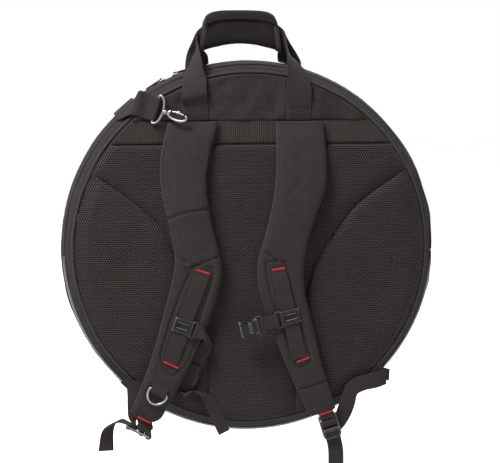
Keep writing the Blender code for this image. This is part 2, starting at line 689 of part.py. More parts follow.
def make_pocket():
    """The half-moon front pocket with its own zip, slider and pull."""
    front = FRONT_SEAT + TOUCH_GAP
    loop = segment_below(POCKET_TOP, POCKET_RADIUS, 28)
    middle = front + POCKET_DEPTH / 2
    shell = upright("front_pocket", [loop], middle, POCKET_DEPTH, SHELL_FABRIC, None, "BACK")
    round_off(shell, POCKET_RIM)
    wall = shell.modifiers.new("wall", "SOLIDIFY")
    wall.thickness = POCKET_WALL
    wall.offset = -1.0
    face = front + POCKET_DEPTH
    tape_height = POCKET_TOP - POCKET_ZIP_DROP
    slot_size = (POCKET_ZIP_LENGTH - 2 * TAPE_WIDTH, 2 * POCKET_WALL + CUT_OVERRUN, TAPE_WIDTH)
    slot = block("pocket_slot", slot_size, ZIP_TAPE, None, Matrix.Translation((0, face, tape_height)))
    combine(as_mesh(shell), slot, "DIFFERENCE")
    middle = face + TOUCH_GAP + TAPE_WALL / 2
    tape = rounded(POCKET_ZIP_LENGTH, 2 * TAPE_WIDTH, TAPE_WALL)
    tape = [(x, z + tape_height) for x, z in tape]
    upright("pocket_zip_tape", [tape], middle, TAPE_WALL, ZIP_TAPE)
    place = POCKET_SLIDER_INSET - POCKET_ZIP_LENGTH / 2
    slide = joint_pivot("pocket_slider_pivot", (place, face, tape_height))
    spot = Vector((place, middle + TAPE_WALL / 2 + TOUCH_GAP, tape_height))
    outward = -OUTWARD
    along = Vector((-1, 0, 0))
    zip_slider("pocket_slider", spot, along, outward, slide)
    eye = spot + outward * (SLIDER_PLATE + BRIDGE_HOLE / 2)
    swing = joint_pivot("pocket_pull_pivot", eye, slide)
    zip_pull("pocket_pull", eye, along, outward, swing)


def make_inside():
    """Two padded dividers that stand on the guard pad along the bottom."""
    guard_outer = shell_radius(-GUARD_WIDTH / 2) - GUSSET_WALL / 2 - TOUCH_GAP
    radius = guard_outer - GUARD_WALL / 2

    def spot(across, along):
        angle = -math.pi / 2 + GUARD_ANGLE * (2 * along - 1)
        depth = GUARD_WIDTH * (across - 0.5)
        return Vector((radius * math.cos(angle), depth, radius * math.sin(angle)))

    sheet("bottom_guard", 2, 18, spot, GUARD_WALL, LINING)
    floor = radius - GUARD_WALL / 2 - TOUCH_GAP
    for name, depth in (("divider_back", DIVIDER_BACK_PLACE), ("divider_front", DIVIDER_FRONT_PLACE)):
        hinge = joint_pivot(name + "_pivot", (0, depth, -floor))
        disc(name, DIVIDER_RADIUS, DIVIDER_WALL, depth, DIVIDER_RADIUS - floor, LINING, hinge)


GRIP_BOTTOM = GRIP_DROP
GRIP_MIDDLE = Vector((-GRIP_LEAN, GRIP_PLACE, GRIP_BOTTOM + GRIP_HEIGHT / 2))
OVAL_SQUARE_SHARE = 0.6


def grip_section(angle, lift):
    """A place round the grip's squared oval, a lift outside its inner layer's middle."""
    half_depth = GRIP_DEPTH / 2 - GRIP_WALL / 2 + lift
    half_height = GRIP_HEIGHT / 2 - GRIP_WALL / 2 + lift
    across = math.copysign(abs(math.cos(angle)) ** OVAL_SQUARE_SHARE, math.cos(angle))
    rise = math.copysign(abs(math.sin(angle)) ** OVAL_SQUARE_SHARE, math.sin(angle))
    return Vector((0, half_depth * across, half_height * rise))


def grip_point(section, share):
    """A place on the arched grip from its section and a share of its length."""
    droop = GRIP_ARCH * (2 * share - 1) ** 2
    return GRIP_MIDDLE + section + Vector((GRIP_LENGTH * (share - 0.5), 0, -droop))


def handle_leg(rows, side):
    """Stations up one leg of a handle webbing; each row gives across, depth, height and turn."""
    stations = []
    for reach_share, depth, height, turn, width_share in rows:
        centre = HANDLE_SHIFT + (GRIP_MIDDLE.x - HANDLE_SHIFT) * (1 - reach_share)
        spot = Vector((centre + side * HANDLE_SPREAD * reach_share, depth, height))
        width = Vector((-side * turn[0], turn[1], turn[2])).normalized() * HANDLE_WIDTH * width_share
        stations.append((spot, width))
    return stations


def handle_foot(side):
    """Stations where a front handle leg lies across the top of the gusset."""
    reach = HANDLE_SHIFT + side * HANDLE_SPREAD
    stations = []
    for depth in (FRONT_LEG_PLACE - HANDLE_FOOT, FRONT_LEG_PLACE - HANDLE_FOOT / 3):
        sag = HANDLE_WIDTH ** 2 / (8 * shell_radius(depth))
        lift = GUSSET_WALL / 2 + 2 * TOUCH_GAP + WEBBING_WALL / 2 + sag
        angle = math.acos(reach / (shell_radius(depth) + lift))
        width = Vector((-side * math.sin(angle), 0, side * math.cos(angle))) * HANDLE_WIDTH
        stations.append((shell_point(depth, angle, lift), width))
    return stations


def make_handle():
    """Two webbing loops gathered in a padded grip with a closing flap."""
    def wrap(across, along):
        angle = math.pi / 2 + GRIP_SEAM_ANGLE + (2 * math.pi - 2 * GRIP_SEAM_ANGLE) * along
        return grip_point(grip_section(angle, 0), across)

    def flap(across, along):
        angle = FLAP_START_ANGLE + FLAP_SWEEP_ANGLE * along
        lift = GRIP_WALL / 2 + TOUCH_GAP + GRIP_FLAP_WALL / 2
        return grip_point(grip_section(angle, lift), across)

    sheet("grip_wrap", 4, 22, wrap, GRIP_WALL, STRAP_FABRIC)
    edge = flap(0, 0)
    hinge = joint_pivot("grip_flap_pivot", (GRIP_MIDDLE.x, edge.y + GRIP_FLAP_WALL, edge.z))
    sheet("grip_flap", 4, 10, flap, GRIP_FLAP_WALL, STRAP_FABRIC, hinge)
    inner = (GRIP_DEPTH / 2 - GRIP_WALL) * HANDLE_NEST_SHARE
    top = GRIP_MIDDLE.z
    lie = BACK_SEAT - FABRIC_WALL - 3 * TOUCH_GAP - WEBBING_WALL / 2
    depth = GRIP_MIDDLE.y - inner
    foot = BAND_TOP + SEAM_GAP
    back_rows = [(reach, lie + (depth - lie) * depth_share, foot + (top - foot) * height, turn, width)
                 for reach, depth_share, height, turn, width in BACK_HANDLE_SHARES]
    left, right = handle_leg(back_rows, -1), handle_leg(back_rows, 1)
    ribbon("handle_webbing_back", left + right[-2::-1], 30, WEBBING)
    depth = GRIP_MIDDLE.y + inner
    foot = shell_point(FRONT_LEG_PLACE, math.pi / 2).z
    front_rows = [(reach, depth + HANDLE_FOOT * depth_share, foot + (top - foot) * height, turn, width)
                  for reach, depth_share, height, turn, width in FRONT_HANDLE_SHARES]
    left = handle_foot(-1) + handle_leg(front_rows, -1)
    right = handle_foot(1) + handle_leg(front_rows, 1)
    ribbon("handle_webbing_front", left + right[-2::-1], 34, WEBBING)


def strap_face_frame(shares):
    """Ends, direction and across vector of a webbing strip sewn on a strap."""
    top, bottom = edge_point(shares[0]), edge_point(shares[1])
    along = (top - bottom).normalized()
    across = Vector((along.z, 0, -along.x))
    return top, bottom, along, across


STRIP_MIDDLE = STRAP_FACE - STRIP_CLEARANCE - WEBBING_WALL / 2
STRIP_SEAT = STRAP_FACE - TOUCH_GAP - WEBBING_WALL / 2


def make_strap(side, shares, carrier):
    """A contoured padded shoulder strap, standing off the back below the hem."""
    left = [edge_point(pair[0]) for pair in shares]
    right = [edge_point(pair[1]) for pair in shares]
    stands = [Vector((0, -STRAP_STAND * share, 0)) for share in STRAP_STAND_SHARES]

    def spot(across, along):
        edge_left, edge_right = smooth(left, along), smooth(right, along)
        stand = smooth(stands, along)
        return edge_left.lerp(edge_right, across) + stand + Vector((0, STRAP_MIDDLE, 0))

    strap = sheet("shoulder_strap_" + side, 3, 22, spot, STRAP_WALL, STRAP_FABRIC, carrier)
    bevel = strap.modifiers.new("rim", "BEVEL")
    bevel.width = STRAP_RIM
    bevel.segments = 1
    bevel.limit_method = "ANGLE"
    bevel.angle_limit = math.radians(50.0)


def strap_face_at(shares, height):
    """The depth of a strap's outer face at a height."""
    edge = [edge_point(pair[0]) for pair in shares]
    stands = [Vector((0, STRAP_STAND * share, 0)) for share in STRAP_STAND_SHARES]
    steps = 60
    higher = [step / steps for step in range(steps + 1) if smooth(edge, step / steps).z > height]
    return STRAP_MIDDLE - smooth(stands, higher[-1]).y - STRAP_WALL / 2


def make_strip(side, shares, carrier):
    """The webbing strip on a strap, free between its two sewn ends."""
    top, bottom, along, across = strap_face_frame(shares)
    wide = across * WEBBING_WIDTH
    inset = along * WEBBING_WIDTH / 3
    seat_y, free_y = Vector((0, STRIP_SEAT, 0)), Vector((0, STRIP_MIDDLE, 0))
    spots = [top + seat_y, top - inset + seat_y, top - inset * 2 + free_y, bottom + inset * 2 + free_y,
             bottom + inset + seat_y, bottom + seat_y]
    mesh_rows = len(spots) - 1

    def spot(share_across, share_along):
        point = spots[round(share_along * mesh_rows)]
        return point + wide * (share_across - 0.5)

    sheet("strap_webbing_" + side, 1, mesh_rows, spot, WEBBING_WALL, WEBBING, carrier)


def chest_slider_frame(shares, place_share):
    """The frame of a chest slider: x across the strip, y up along it, z away from the back."""
    top, bottom, along, across = strap_face_frame(shares)
    spot = top.lerp(bottom, place_share) + Vector((0, STRIP_MIDDLE, 0))
    return frame_at(spot, across, OUTWARD)


SLIDER_SEAT = WEBBING_WALL / 2 + TOUCH_GAP
LOOP_REACH = SLIDER_BODY / 2 + LOOP_SLOT + LOOP_BAR
LOOP_HEIGHT = CHEST_WIDTH + 2 * LOOP_BAR + 2 * TOUCH_GAP


def make_chest_slider(side, shares, place_share, loop_side, carrier):
    """A slider that clips round the strip, with a loop for the chest webbing."""
    frame = chest_slider_frame(shares, place_share)
    near, far = -SLIDER_BODY / 2, LOOP_REACH
    half, tall = SLIDER_HEIGHT / 2, LOOP_HEIGHT / 2
    body_end = SLIDER_BODY / 2 - LOOP_BAR
    outer = [(near, -half), (body_end, -half), (body_end, -tall), (far, -tall), (far, tall),
             (body_end, tall), (body_end, half), (near, half)]
    slot = [(SLIDER_BODY / 2, -tall + LOOP_BAR), (SLIDER_BODY / 2, tall - LOOP_BAR),
            (SLIDER_BODY / 2 + LOOP_SLOT, tall - LOOP_BAR), (SLIDER_BODY / 2 + LOOP_SLOT, -tall + LOOP_BAR)]
    loops = [[(loop_side * x, y) for x, y in loop] for loop in (outer, slot)]
    lifted = frame @ Matrix.Translation((0, 0, SLIDER_SEAT + SLIDER_FACE / 2))
    name = "chest_slider_" + side
    face = as_mesh(outline(name, loops, SLIDER_FACE, BLACK_PLASTIC, carrier, lifted))
    wall = WEBBING_WIDTH / 2 + TOUCH_GAP
    top = SLIDER_SEAT + SLIDER_FACE / 2
    under = -SLIDER_SEAT
    lip = under - (STRIP_CLEARANCE - 3 * TOUCH_GAP) + TOUCH_GAP
    side_end = SLIDER_BODY / 2
    for end in (-1, 1):
        hook = [(end * side_end, top), (end * side_end, lip), (end * (wall - SLIDER_LIP), lip),
                (end * (wall - SLIDER_LIP), under), (end * wall, under), (end * wall, top)]
        turned = frame @ Euler((math.pi / 2, 0, 0)).to_matrix().to_4x4()
        clip = as_mesh(outline(name + "_lip", [hook], SLIDER_HEIGHT, BLACK_PLASTIC, carrier, turned))
        combine(face, clip, "UNION")
    return frame


def loop_bar(frame, loop_side):
    """The middle of a chest slider's loop bar."""
    reach = loop_side * (SLIDER_BODY / 2 + LOOP_SLOT + LOOP_BAR / 2)
    return frame @ Vector((reach, 0, SLIDER_SEAT + SLIDER_FACE / 2))


def loop_wrap(frame, loop_side):
    """Stations of webbing folded round a chest slider's loop bar, from behind to in front."""
    bar = SLIDER_BODY / 2 + LOOP_SLOT + LOOP_BAR / 2
    turn = math.hypot(LOOP_BAR, SLIDER_FACE) / 2 + TOUCH_GAP + WEBBING_WALL / 2
    height = SLIDER_SEAT + SLIDER_FACE / 2
    width = (frame.to_3x3() @ Vector((0, 1, 0))) * CHEST_WIDTH
    stations = []
    for angle in (-40, -90, -135, -180, -225, -270, -320):
        swing = math.radians(angle)
        reach = bar + turn * math.cos(swing)
        local = Vector((loop_side * reach, 0, height + turn * math.sin(swing)))
        stations.append((frame @ local, width))
    return stations


def make_chest_right(frame, carrier):
    """The right chest webbing with the buckle's socket at its end."""
    swing = joint_pivot("chest_right_pivot", loop_bar(frame, -1), carrier)
    wrap = loop_wrap(frame, -1)[2:]
    direction = Vector((-0.972, 0, -0.235))
    width = Vector((0.235, 0, -0.972)) * -CHEST_WIDTH
    start = wrap[-1][0]
    mid = start + direction * CHEST_WIDTH * 0.45
    end = start + direction * CHEST_WIDTH * 1.0
    stations = wrap + [(mid, width), (end, width)]
    ribbon("chest_webbing_right", stations, 16, WEBBING, swing)
    bar_spot = end + direction * (BUCKLE_BAR / 2 + TOUCH_GAP)
    across = Vector((0.235, 0, -0.972))
    bar_size = (BUCKLE_WIDTH - BUCKLE_WALL, BUCKLE_DEPTH - BUCKLE_WALL, BUCKLE_BAR)
    bar = block("buckle_bar", bar_size, BLACK_PLASTIC, swing, frame_at(bar_spot, across, direction))
    sleeve_spot = bar_spot + direction * BUCKLE_LENGTH / 2
    sleeve_frame = frame_at(sleeve_spot, across, direction)
    outer = rounded(BUCKLE_WIDTH, BUCKLE_DEPTH, 1.5 * BUCKLE_WALL)
    hole = rounded(BUCKLE_WIDTH - 4 * BUCKLE_WALL, BUCKLE_DEPTH - 2 * BUCKLE_WALL, BUCKLE_WALL / 2)
    sleeve = outline("buckle_socket", [outer, hole], BUCKLE_LENGTH, BLACK_PLASTIC, swing, sleeve_frame)
    combine(as_mesh(sleeve), bar, "UNION")


def make_chest_left(frame, carrier):
    """The left chest webbing, which hangs behind the strap with the buckle's plug."""
    swing = joint_pivot("chest_left_pivot", loop_bar(frame, 1), carrier)
    wrap = loop_wrap(frame, 1)[2:]
    start = wrap[-1][0]
    inner = STRAP_FACE + STRAP_WALL
    behind = (inner + BACK_SEAT - LOBE_WALL) / 2
    fold = start + Vector((0.55, 0, -0.2)) * CHEST_WIDTH
    down = Vector((-0.46, 0, -0.888))
    sideways = Vector((0.888, 0, -0.46)) * -CHEST_WIDTH
    turned = Vector((fold.x + 0.2 * CHEST_WIDTH, behind - 0.4 * STRAP_WALL, fold.z - 0.9 * CHEST_WIDTH))
    low = Vector((turned.x, behind, turned.z)) + down * CHEST_WIDTH * 1.6
    end = low + down * CHEST_WIDTH * 0.9
    stations = wrap + [(fold, Vector((-0.3, 0, 0.95)) * CHEST_WIDTH), (turned, -sideways * 0.8),
                       (low, -sideways), (end, -sideways)]
    ribbon("chest_webbing_left", stations, 22, WEBBING, swing)
    bar = end + down * (PLUG_WALL + TOUCH_GAP)
    plug_frame = frame_at(bar, Vector((-down.z, 0, down.x)), OUTWARD)
    wide, long = BUCKLE_WIDTH / 2 - 2 * BUCKLE_WALL, BUCKLE_LENGTH * 0.8
    prong = BUCKLE_WIDTH / 7
    shape = [(-wide, PLUG_WALL), (-wide, -long), (-wide + prong, -long), (-wide + prong, -PLUG_WALL),
             (-prong / 2, -PLUG_WALL), (-prong / 2, -long), (prong / 2, -long), (prong / 2, -PLUG_WALL),
             (wide - prong, -PLUG_WALL), (wide - prong, -long), (wide, -long), (wide, PLUG_WALL)]
    outline("buckle_plug", [shape], PLUG_WALL, BLACK_PLASTIC, swing, plug_frame)


def make_d_ring(carrier):
    """The D-ring on the left strap and the webbing loop that holds it."""
    along = Vector((0.87, 0, -0.49))
    drop = Vector((-0.49, 0, -0.87))
    middle = edge_point(D_RING_SHARES)
    turn = RING_WIRE + TOUCH_GAP + WEBBING_WALL / 2
    loop_length = WEBBING_WIDTH * 0.8
    face = strap_face_at(LEFT_STRAP_SHARES, middle.z - drop.z * loop_length)
    spot = middle + Vector((0, face - WEBBING_WALL - 2 * TOUCH_GAP - RING_WIRE, 0))
    swing = joint_pivot("d_ring_pivot", spot, carrier)
    frame = frame_at(spot, along, OUTWARD)
    half = WEBBING_WIDTH / 2 + RING_WIRE + TOUCH_GAP
    ring = [(x, y, 0) for x, y in arc(half, math.pi, 2 * math.pi, 12)]
    tube("d_ring", ring, RING_WIRE, STEEL, closed=True, carrier=swing, frame=frame)
    wrap = []
    for angle in (-90, -45, 0, 45, 90):
        swing_angle = math.radians(angle)
        offset = drop * (turn * math.cos(swing_angle)) + Vector((0, turn * math.sin(swing_angle), 0))
        wrap.append((spot + offset, along * WEBBING_WIDTH * 0.92))
    up = -drop * loop_length
    top = wrap[0][0] + up + Vector((0, turn - TOUCH_GAP, 0))
    root = wrap[-1][0] + up
    stations = [(top, along * WEBBING_WIDTH * 0.92)] + wrap + [(root, along * WEBBING_WIDTH * 0.92)]
    ribbon("d_ring_loop", stations, 12, WEBBING, carrier)


def lock_outline():
    """A ladder lock's frame with its two slots, hung from its top bar at the origin."""
    half = LOCK_WIDTH / 2
    top, bottom = LOCK_BAR / 2, LOCK_BAR / 2 - LOCK_LENGTH
    outer = [(-half, top), (-half, bottom + LOCK_BAR), (-half + LOCK_BAR, bottom), (half - LOCK_BAR, bottom),
             (half, bottom + LOCK_BAR), (half, top)]
    inner = half - LOCK_WALL + TOUCH_GAP
    slots = []
    start = -LOCK_BAR / 2
    for _ in range(2):
        end = start - LOCK_SLOT
        slots.append([(-inner, start), (inner, start), (inner, end), (-inner, end)])
        start -= LOCK_SLOT + LOCK_BAR
    return [outer] + slots


LOCK_DEPTH = STRAP_MIDDLE - STRAP_STAND * STRAP_STAND_SHARES[-1]
LOCK_TURN = math.hypot(LOCK_BAR, LOCK_WALL) / 2 + TOUCH_GAP + WEBBING_WALL / 2


def lock_station(frame, down, out, width):
    """A station of webbing in a ladder lock's frame, a length down it and a height out of it."""
    return frame @ Vector((0, -down, out)), frame.to_3x3() @ Vector((width, 0, 0))


def lock_loop(frame):
    """Stations of webbing round the lock's top bar, from its back to its front."""
    stations = []
    for angle in (-90, -45, 0, 45, 90):
        turn = math.radians(angle)
        down, out = LOCK_TURN * math.cos(turn), LOCK_TURN * math.sin(turn)
        stations.append(lock_station(frame, down, out, WEBBING_WIDTH))
    return stations


def lock_threading(frame):
    """Stations of the adjusting webbing up behind the middle bar, over it and down behind the lip."""
    bar = LOCK_SLOT + LOCK_BAR
    behind = LOCK_WALL / 2 + TOUCH_GAP + WEBBING_WALL / 2
    low = LOCK_LENGTH - LOCK_BAR / 2
    rows = [(2 * bar - LOCK_WALL / 2, -behind - WEBBING_WALL * 1.6)]
    for step in range(7):
        turn = math.radians(-90 - 45 * step)
        rows.append((bar + LOCK_TURN * math.cos(turn), LOCK_TURN * math.sin(turn)))
    rows += [(bar + LOCK_TURN * 1.7, -behind), (2 * bar + LOCK_BAR, -behind), (low, -behind)]
    return [lock_station(frame, down, out, WEBBING_WIDTH) for down, out in rows]


def anchor_entry(frame, fold):
    """Last stations of an anchor webbing behind the lock, below the threaded webbing's start."""
    bar = LOCK_SLOT + LOCK_BAR
    start = 2 * bar - LOCK_WALL / 2 + 4 * SEAM_GAP
    out = -(LOCK_WALL / 2 + TOUCH_GAP + WEBBING_WALL / 2) - WEBBING_WALL * 2.4
    rows = [(start, out), (start + LOCK_BAR, out)]
    if fold:
        turn = fold * WEBBING_WALL
        low = start + 1.6 * LOCK_BAR
        for angle in (math.pi * 0.25, math.pi * 0.5, math.pi * 0.75):
            rows.append((low + turn * math.sin(angle), out - turn + turn * math.cos(angle)))
    return [lock_station(frame, down, height, WEBBING_WIDTH) for down, height in reversed(rows)]


def make_lower_end(side, bar_shares, down, outward, carrier):
    """A ladder lock on its pivot; gives its frame and the pivot."""
    spot = edge_point(bar_shares) + Vector((0, LOCK_DEPTH, 0))
    swing = joint_pivot("ladder_lock_" + side + "_pivot", spot, carrier)
    across = down.cross(outward) * -1
    frame = frame_at(spot, across, outward)
    outline("ladder_lock_" + side, lock_outline(), LOCK_WALL, BLACK_PLASTIC, swing, frame)
    return frame, swing


def anchor_stations(rows):
    """Stations of an anchor webbing from the tab towards the lock."""
    stations = []
    for across, up, depth, turn in rows:
        spot = edge_point((across, up)) + Vector((0, BACK_SEAT + (LOCK_DEPTH - BACK_SEAT) * depth, 0))
        stations.append((spot, Vector(turn).normalized() * WEBBING_WIDTH))
    return stations


def make_tab(side, shares):
    """The sewn tab at the piped edge that holds an anchor webbing."""
    loop = [(edge_point(pair).x, edge_point(pair).z) for pair in shares]
    middle = -BACK_DEPTH - PIPING_RADIUS - TOUCH_GAP - TAB_WALL / 2
    upright("anchor_tab_" + side, [loop], middle, TAB_WALL, SHELL_FABRIC)


def make_right_end(carrier):
    """Right ladder lock, its strap loop, the hanging tail and the anchor webbing."""
    down = Vector((0.29, 0, -0.957)).normalized()
    frame, swing = make_lower_end("right", RIGHT_BAR_SHARES, down, OUTWARD, carrier)
    loop = lock_loop(frame)
    strap_end = edge_point(RIGHT_STRAP_SHARES[-1][0]).lerp(edge_point(RIGHT_STRAP_SHARES[-1][1]), 0.5)
    reach = (edge_point(RIGHT_BAR_SHARES) - strap_end).length - SEAM_GAP
    front = [lock_station(frame, -reach * 0.8, LOCK_TURN * 0.8, WEBBING_WIDTH)]
    back = [lock_station(frame, -reach * 0.8, -LOCK_TURN * 0.8, WEBBING_WIDTH)]
    ribbon("strap_end_loop_right", back + loop + front, 14, WEBBING, carrier)
    threading = lock_threading(frame)
    last = threading[-1][0]
    width = Vector((WEBBING_WIDTH, 0, 0))
    tail = [(last + Vector(share) * TAIL_LENGTH, width) for share in RIGHT_TAIL_SHARES]
    ribbon("adjust_webbing_right", threading + tail, 39, WEBBING, swing)
    anchor = anchor_stations(RIGHT_ANCHOR_SHARES) + anchor_entry(frame, 1.4)
    ribbon("anchor_webbing_right", anchor, 26, WEBBING)
    make_tab("right", RIGHT_TAB_SHARES)


def make_left_end(carrier):
    """Left ladder lock, turned edge-on, with its strap loop, tail and anchor webbing."""
    down = Vector((-0.88, 0, 0.47)).normalized()
    outward = Vector((-0.47, 0, -0.88)).normalized()
    frame, swing = make_lower_end("left", LEFT_BAR_SHARES, down, outward, carrier)
    level = Vector((0, LOCK_DEPTH, 0))
    way = [(edge_point((x, z)) + level, Vector(turn).normalized() * WEBBING_WIDTH)
           for x, z, turn in LEFT_LOOP_SHARES]
    loop = lock_loop(frame)
    ribbon("strap_end_loop_left", way + loop[::-1], 20, WEBBING, carrier)
    threading = lock_threading(frame)
    tail = [(edge_point((x, z)) + level, Vector(turn).normalized() * WEBBING_WIDTH)
            for x, z, turn in LEFT_TAIL_SHARES]
    ribbon("adjust_webbing_left", threading + tail, 42, WEBBING, swing)
    anchor = anchor_stations(LEFT_ANCHOR_SHARES) + anchor_entry(frame, 0)
    ribbon("anchor_webbing_left", anchor, 16, WEBBING)
    make_tab("left", LEFT_TAB_SHARES)


def make_harness():
    """Both shoulder straps with all that is sewn to them or slides on them."""
    hem = Vector((0, STRAP_MIDDLE, BAND_TOP))
    straps = {}
    for side, shares, strip in (("left", LEFT_STRAP_SHARES, LEFT_STRIP_SHARES),
                                ("right", RIGHT_STRAP_SHARES, RIGHT_STRIP_SHARES)):
        straps[side] = joint_pivot("shoulder_strap_" + side + "_pivot", hem)
        make_strap(side, shares, straps[side])
        make_strip(side, strip, straps[side])
    slide_left = joint_pivot("chest_slider_left_pivot", (0, STRIP_MIDDLE, 0), straps["left"])
    frame = make_chest_slider("left", LEFT_STRIP_SHARES, LEFT_SLIDER_SHARE, 1, slide_left)
    make_chest_left(frame, slide_left)
    slide_right = joint_pivot("chest_slider_right_pivot", (0, STRIP_MIDDLE, 0), straps["right"])
    frame = make_chest_slider("right", RIGHT_STRIP_SHARES, RIGHT_SLIDER_SHARE, -1, slide_right)
    make_chest_right(frame, slide_right)
    make_d_ring(straps["left"])
    make_left_end(straps["left"])
    make_right_end(straps["right"])


def sling_stations():
    """Webbing over the bulge from the gusset to the yoke, and round the hook's eye bar."""
    lift = GUSSET_WALL / 2 + 3 * TOUCH_GAP + WEBBING_WALL / 2 + SLING_WIDTH ** 2 / (8 * EDGE_RADIUS)
    stations = []
    tangent = Vector((math.sin(SLING_ANGLE), 0, -math.cos(SLING_ANGLE)))
    for depth, turn in ((SLING_START, 0.0), (SLING_START / 3, 0.0), (-BACK_DEPTH * 0.35, 0.0),
                        (-BACK_DEPTH * 0.75, 0.12)):
        spot = shell_point(depth, SLING_ANGLE, lift * (1 + 3 * turn))
        width = tangent.lerp(HOOK_ACROSS, turn).normalized() * SLING_WIDTH
        stations.append((spot, width))
    under = BACK_SEAT - BAND_WALL - 2 * TOUCH_GAP - WEBBING_WALL / 2
    bar = edge_point(SLING_BAR_SHARES) + Vector((0, under, 0))
    width = HOOK_ACROSS * SLING_WIDTH
    turn = EYE_WIRE + TOUCH_GAP + WEBBING_WALL / 2
    over_piping = bar - HOOK_ALONG * SLING_WIDTH * 0.85 + OUTWARD * TOUCH_GAP
    stations += [(over_piping, width), (bar - HOOK_ALONG * SLING_WIDTH * 0.4, width), (bar, width)]
    centre = bar + OUTWARD * turn
    for angle in (-45, 0, 45, 90):
        swing = math.radians(angle)
        away = HOOK_ALONG * math.cos(swing) + OUTWARD * math.sin(swing)
        stations.append((centre + away * turn, width))
    close = OUTWARD * (WEBBING_WALL + 2 * TOUCH_GAP)
    stations += [(bar - HOOK_ALONG * SLING_WIDTH * 0.35 + close, width),
                 (bar - HOOK_ALONG * SLING_WIDTH * 0.6 + close * 1.8, width)]
    return stations, centre


def oval(half_length, half_width, start, stop, count, centre):
    """Points of an oval's arc about a centre on the local x axis."""
    turns = [start + (stop - start) * step / count for step in range(count + 1)]
    return [(centre + half_length * math.cos(turn), half_width * math.sin(turn)) for turn in turns]


def make_sling():
    """The sling's sewn end with the swivel snap hook that it carries."""
    stations, centre = sling_stations()
    ribbon("sling_webbing", stations, 40, WEBBING)
    lean = HOOK_ALONG * math.cos(HOOK_TILT) + OUTWARD * math.sin(HOOK_TILT)
    frame = frame_at(centre, lean, OUTWARD)
    half = SLING_WIDTH / 2 + EYE_WIRE + TOUCH_GAP
    neck = EYE_DEPTH + EYE_WIRE
    wire = [(0, -half, 0), (EYE_DEPTH * 0.55, -half, 0), (EYE_DEPTH, -half * 0.62, 0),
            (neck, -SWIVEL_RADIUS / 2, 0), (neck, SWIVEL_RADIUS / 2, 0), (EYE_DEPTH, half * 0.62, 0),
            (EYE_DEPTH * 0.55, half, 0), (0, half, 0)]
    eye = as_mesh(tube("hook_eye", wire, EYE_WIRE, STEEL, closed=True, frame=frame))
    hub_place = Matrix.Translation((neck + SWIVEL_LENGTH / 2, 0, 0))
    hub_frame = frame @ hub_place @ Euler((0, math.pi / 2, 0)).to_matrix().to_4x4()
    hub = cylinder("hook_hub", SWIVEL_RADIUS, SWIVEL_LENGTH, STEEL, None, hub_frame)
    combine(eye, hub, "UNION")
    face = neck + SWIVEL_LENGTH + TOUCH_GAP
    turn = joint_pivot("hook_swivel_pivot", frame @ Vector((face, 0, 0)))
    middle = face + HOOK_LENGTH / 2
    wide = HOOK_WIDTH / 2
    first, last = GATE_STOP_ANGLE, GATE_START_ANGLE + 2 * math.pi
    outer = oval(HOOK_LENGTH / 2, wide, first, last, 18, middle)
    inner_length, inner_width = HOOK_LENGTH / 2 - 2 * HOOK_WIRE, wide - 2 * HOOK_WIRE * HOOK_TAPER_SHARE
    inner = oval(inner_length, inner_width, last, first, 18, middle)
    body = outline("hook_body", [outer + inner], 2 * HOOK_WIRE, STEEL, turn, frame)
    round_off(body, HOOK_WIRE * 0.5, 1)
    reach = inner_length * math.cos(GATE_START_ANGLE) - 2 * TOUCH_GAP
    height = (wide - HOOK_WIRE * HOOK_TAPER_SHARE) * math.sin(GATE_START_ANGLE)
    gate_spot = frame @ Vector((middle - reach, height, 0))
    spring = joint_pivot("hook_gate_pivot", gate_spot, turn)
    ends = [(middle - reach, height, 0), (middle + reach, height, 0)]
    tube("hook_gate", ends, GATE_WIRE, STEEL, carrier=spring, frame=frame)


make_shell()
make_back_cover()
make_main_zip()
make_pocket()
make_inside()
make_handle()
make_harness()
make_sling()
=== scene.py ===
"""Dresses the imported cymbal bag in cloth, air mesh, webbing and hardware, with its stage and camera.

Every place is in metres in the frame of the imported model. The harness side faces -Y.
"""
import math

import bmesh
import bpy
import numpy as np
from mathutils import Matrix, Vector, noise


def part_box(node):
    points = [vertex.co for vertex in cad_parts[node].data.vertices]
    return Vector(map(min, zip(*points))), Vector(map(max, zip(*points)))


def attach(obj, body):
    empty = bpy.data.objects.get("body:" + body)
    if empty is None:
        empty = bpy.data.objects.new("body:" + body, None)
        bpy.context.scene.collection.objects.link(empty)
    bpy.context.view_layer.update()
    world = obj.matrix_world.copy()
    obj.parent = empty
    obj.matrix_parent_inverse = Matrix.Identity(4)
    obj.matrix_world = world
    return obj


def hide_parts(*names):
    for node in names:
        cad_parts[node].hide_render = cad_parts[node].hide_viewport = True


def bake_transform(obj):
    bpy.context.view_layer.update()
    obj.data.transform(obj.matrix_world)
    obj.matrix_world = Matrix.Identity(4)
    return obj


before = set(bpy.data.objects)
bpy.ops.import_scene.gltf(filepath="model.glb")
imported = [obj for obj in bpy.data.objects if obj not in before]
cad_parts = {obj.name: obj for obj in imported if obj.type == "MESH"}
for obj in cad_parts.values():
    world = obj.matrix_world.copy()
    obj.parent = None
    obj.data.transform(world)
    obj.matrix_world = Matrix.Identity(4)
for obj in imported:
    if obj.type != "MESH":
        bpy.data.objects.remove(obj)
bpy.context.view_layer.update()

bl_info = {
    "name": "Cymbal bag dressing",
    "version": (1, 0, 0),
    "blender": (4, 5, 0),
    "location": "3D View > Sidebar > Bag",
    "description": "Cloth, webbing and hardware of a round backpack cymbal bag",
    "category": "Object",
}

MM = 0.001
OUTWARD = Vector((0, -1, 0))

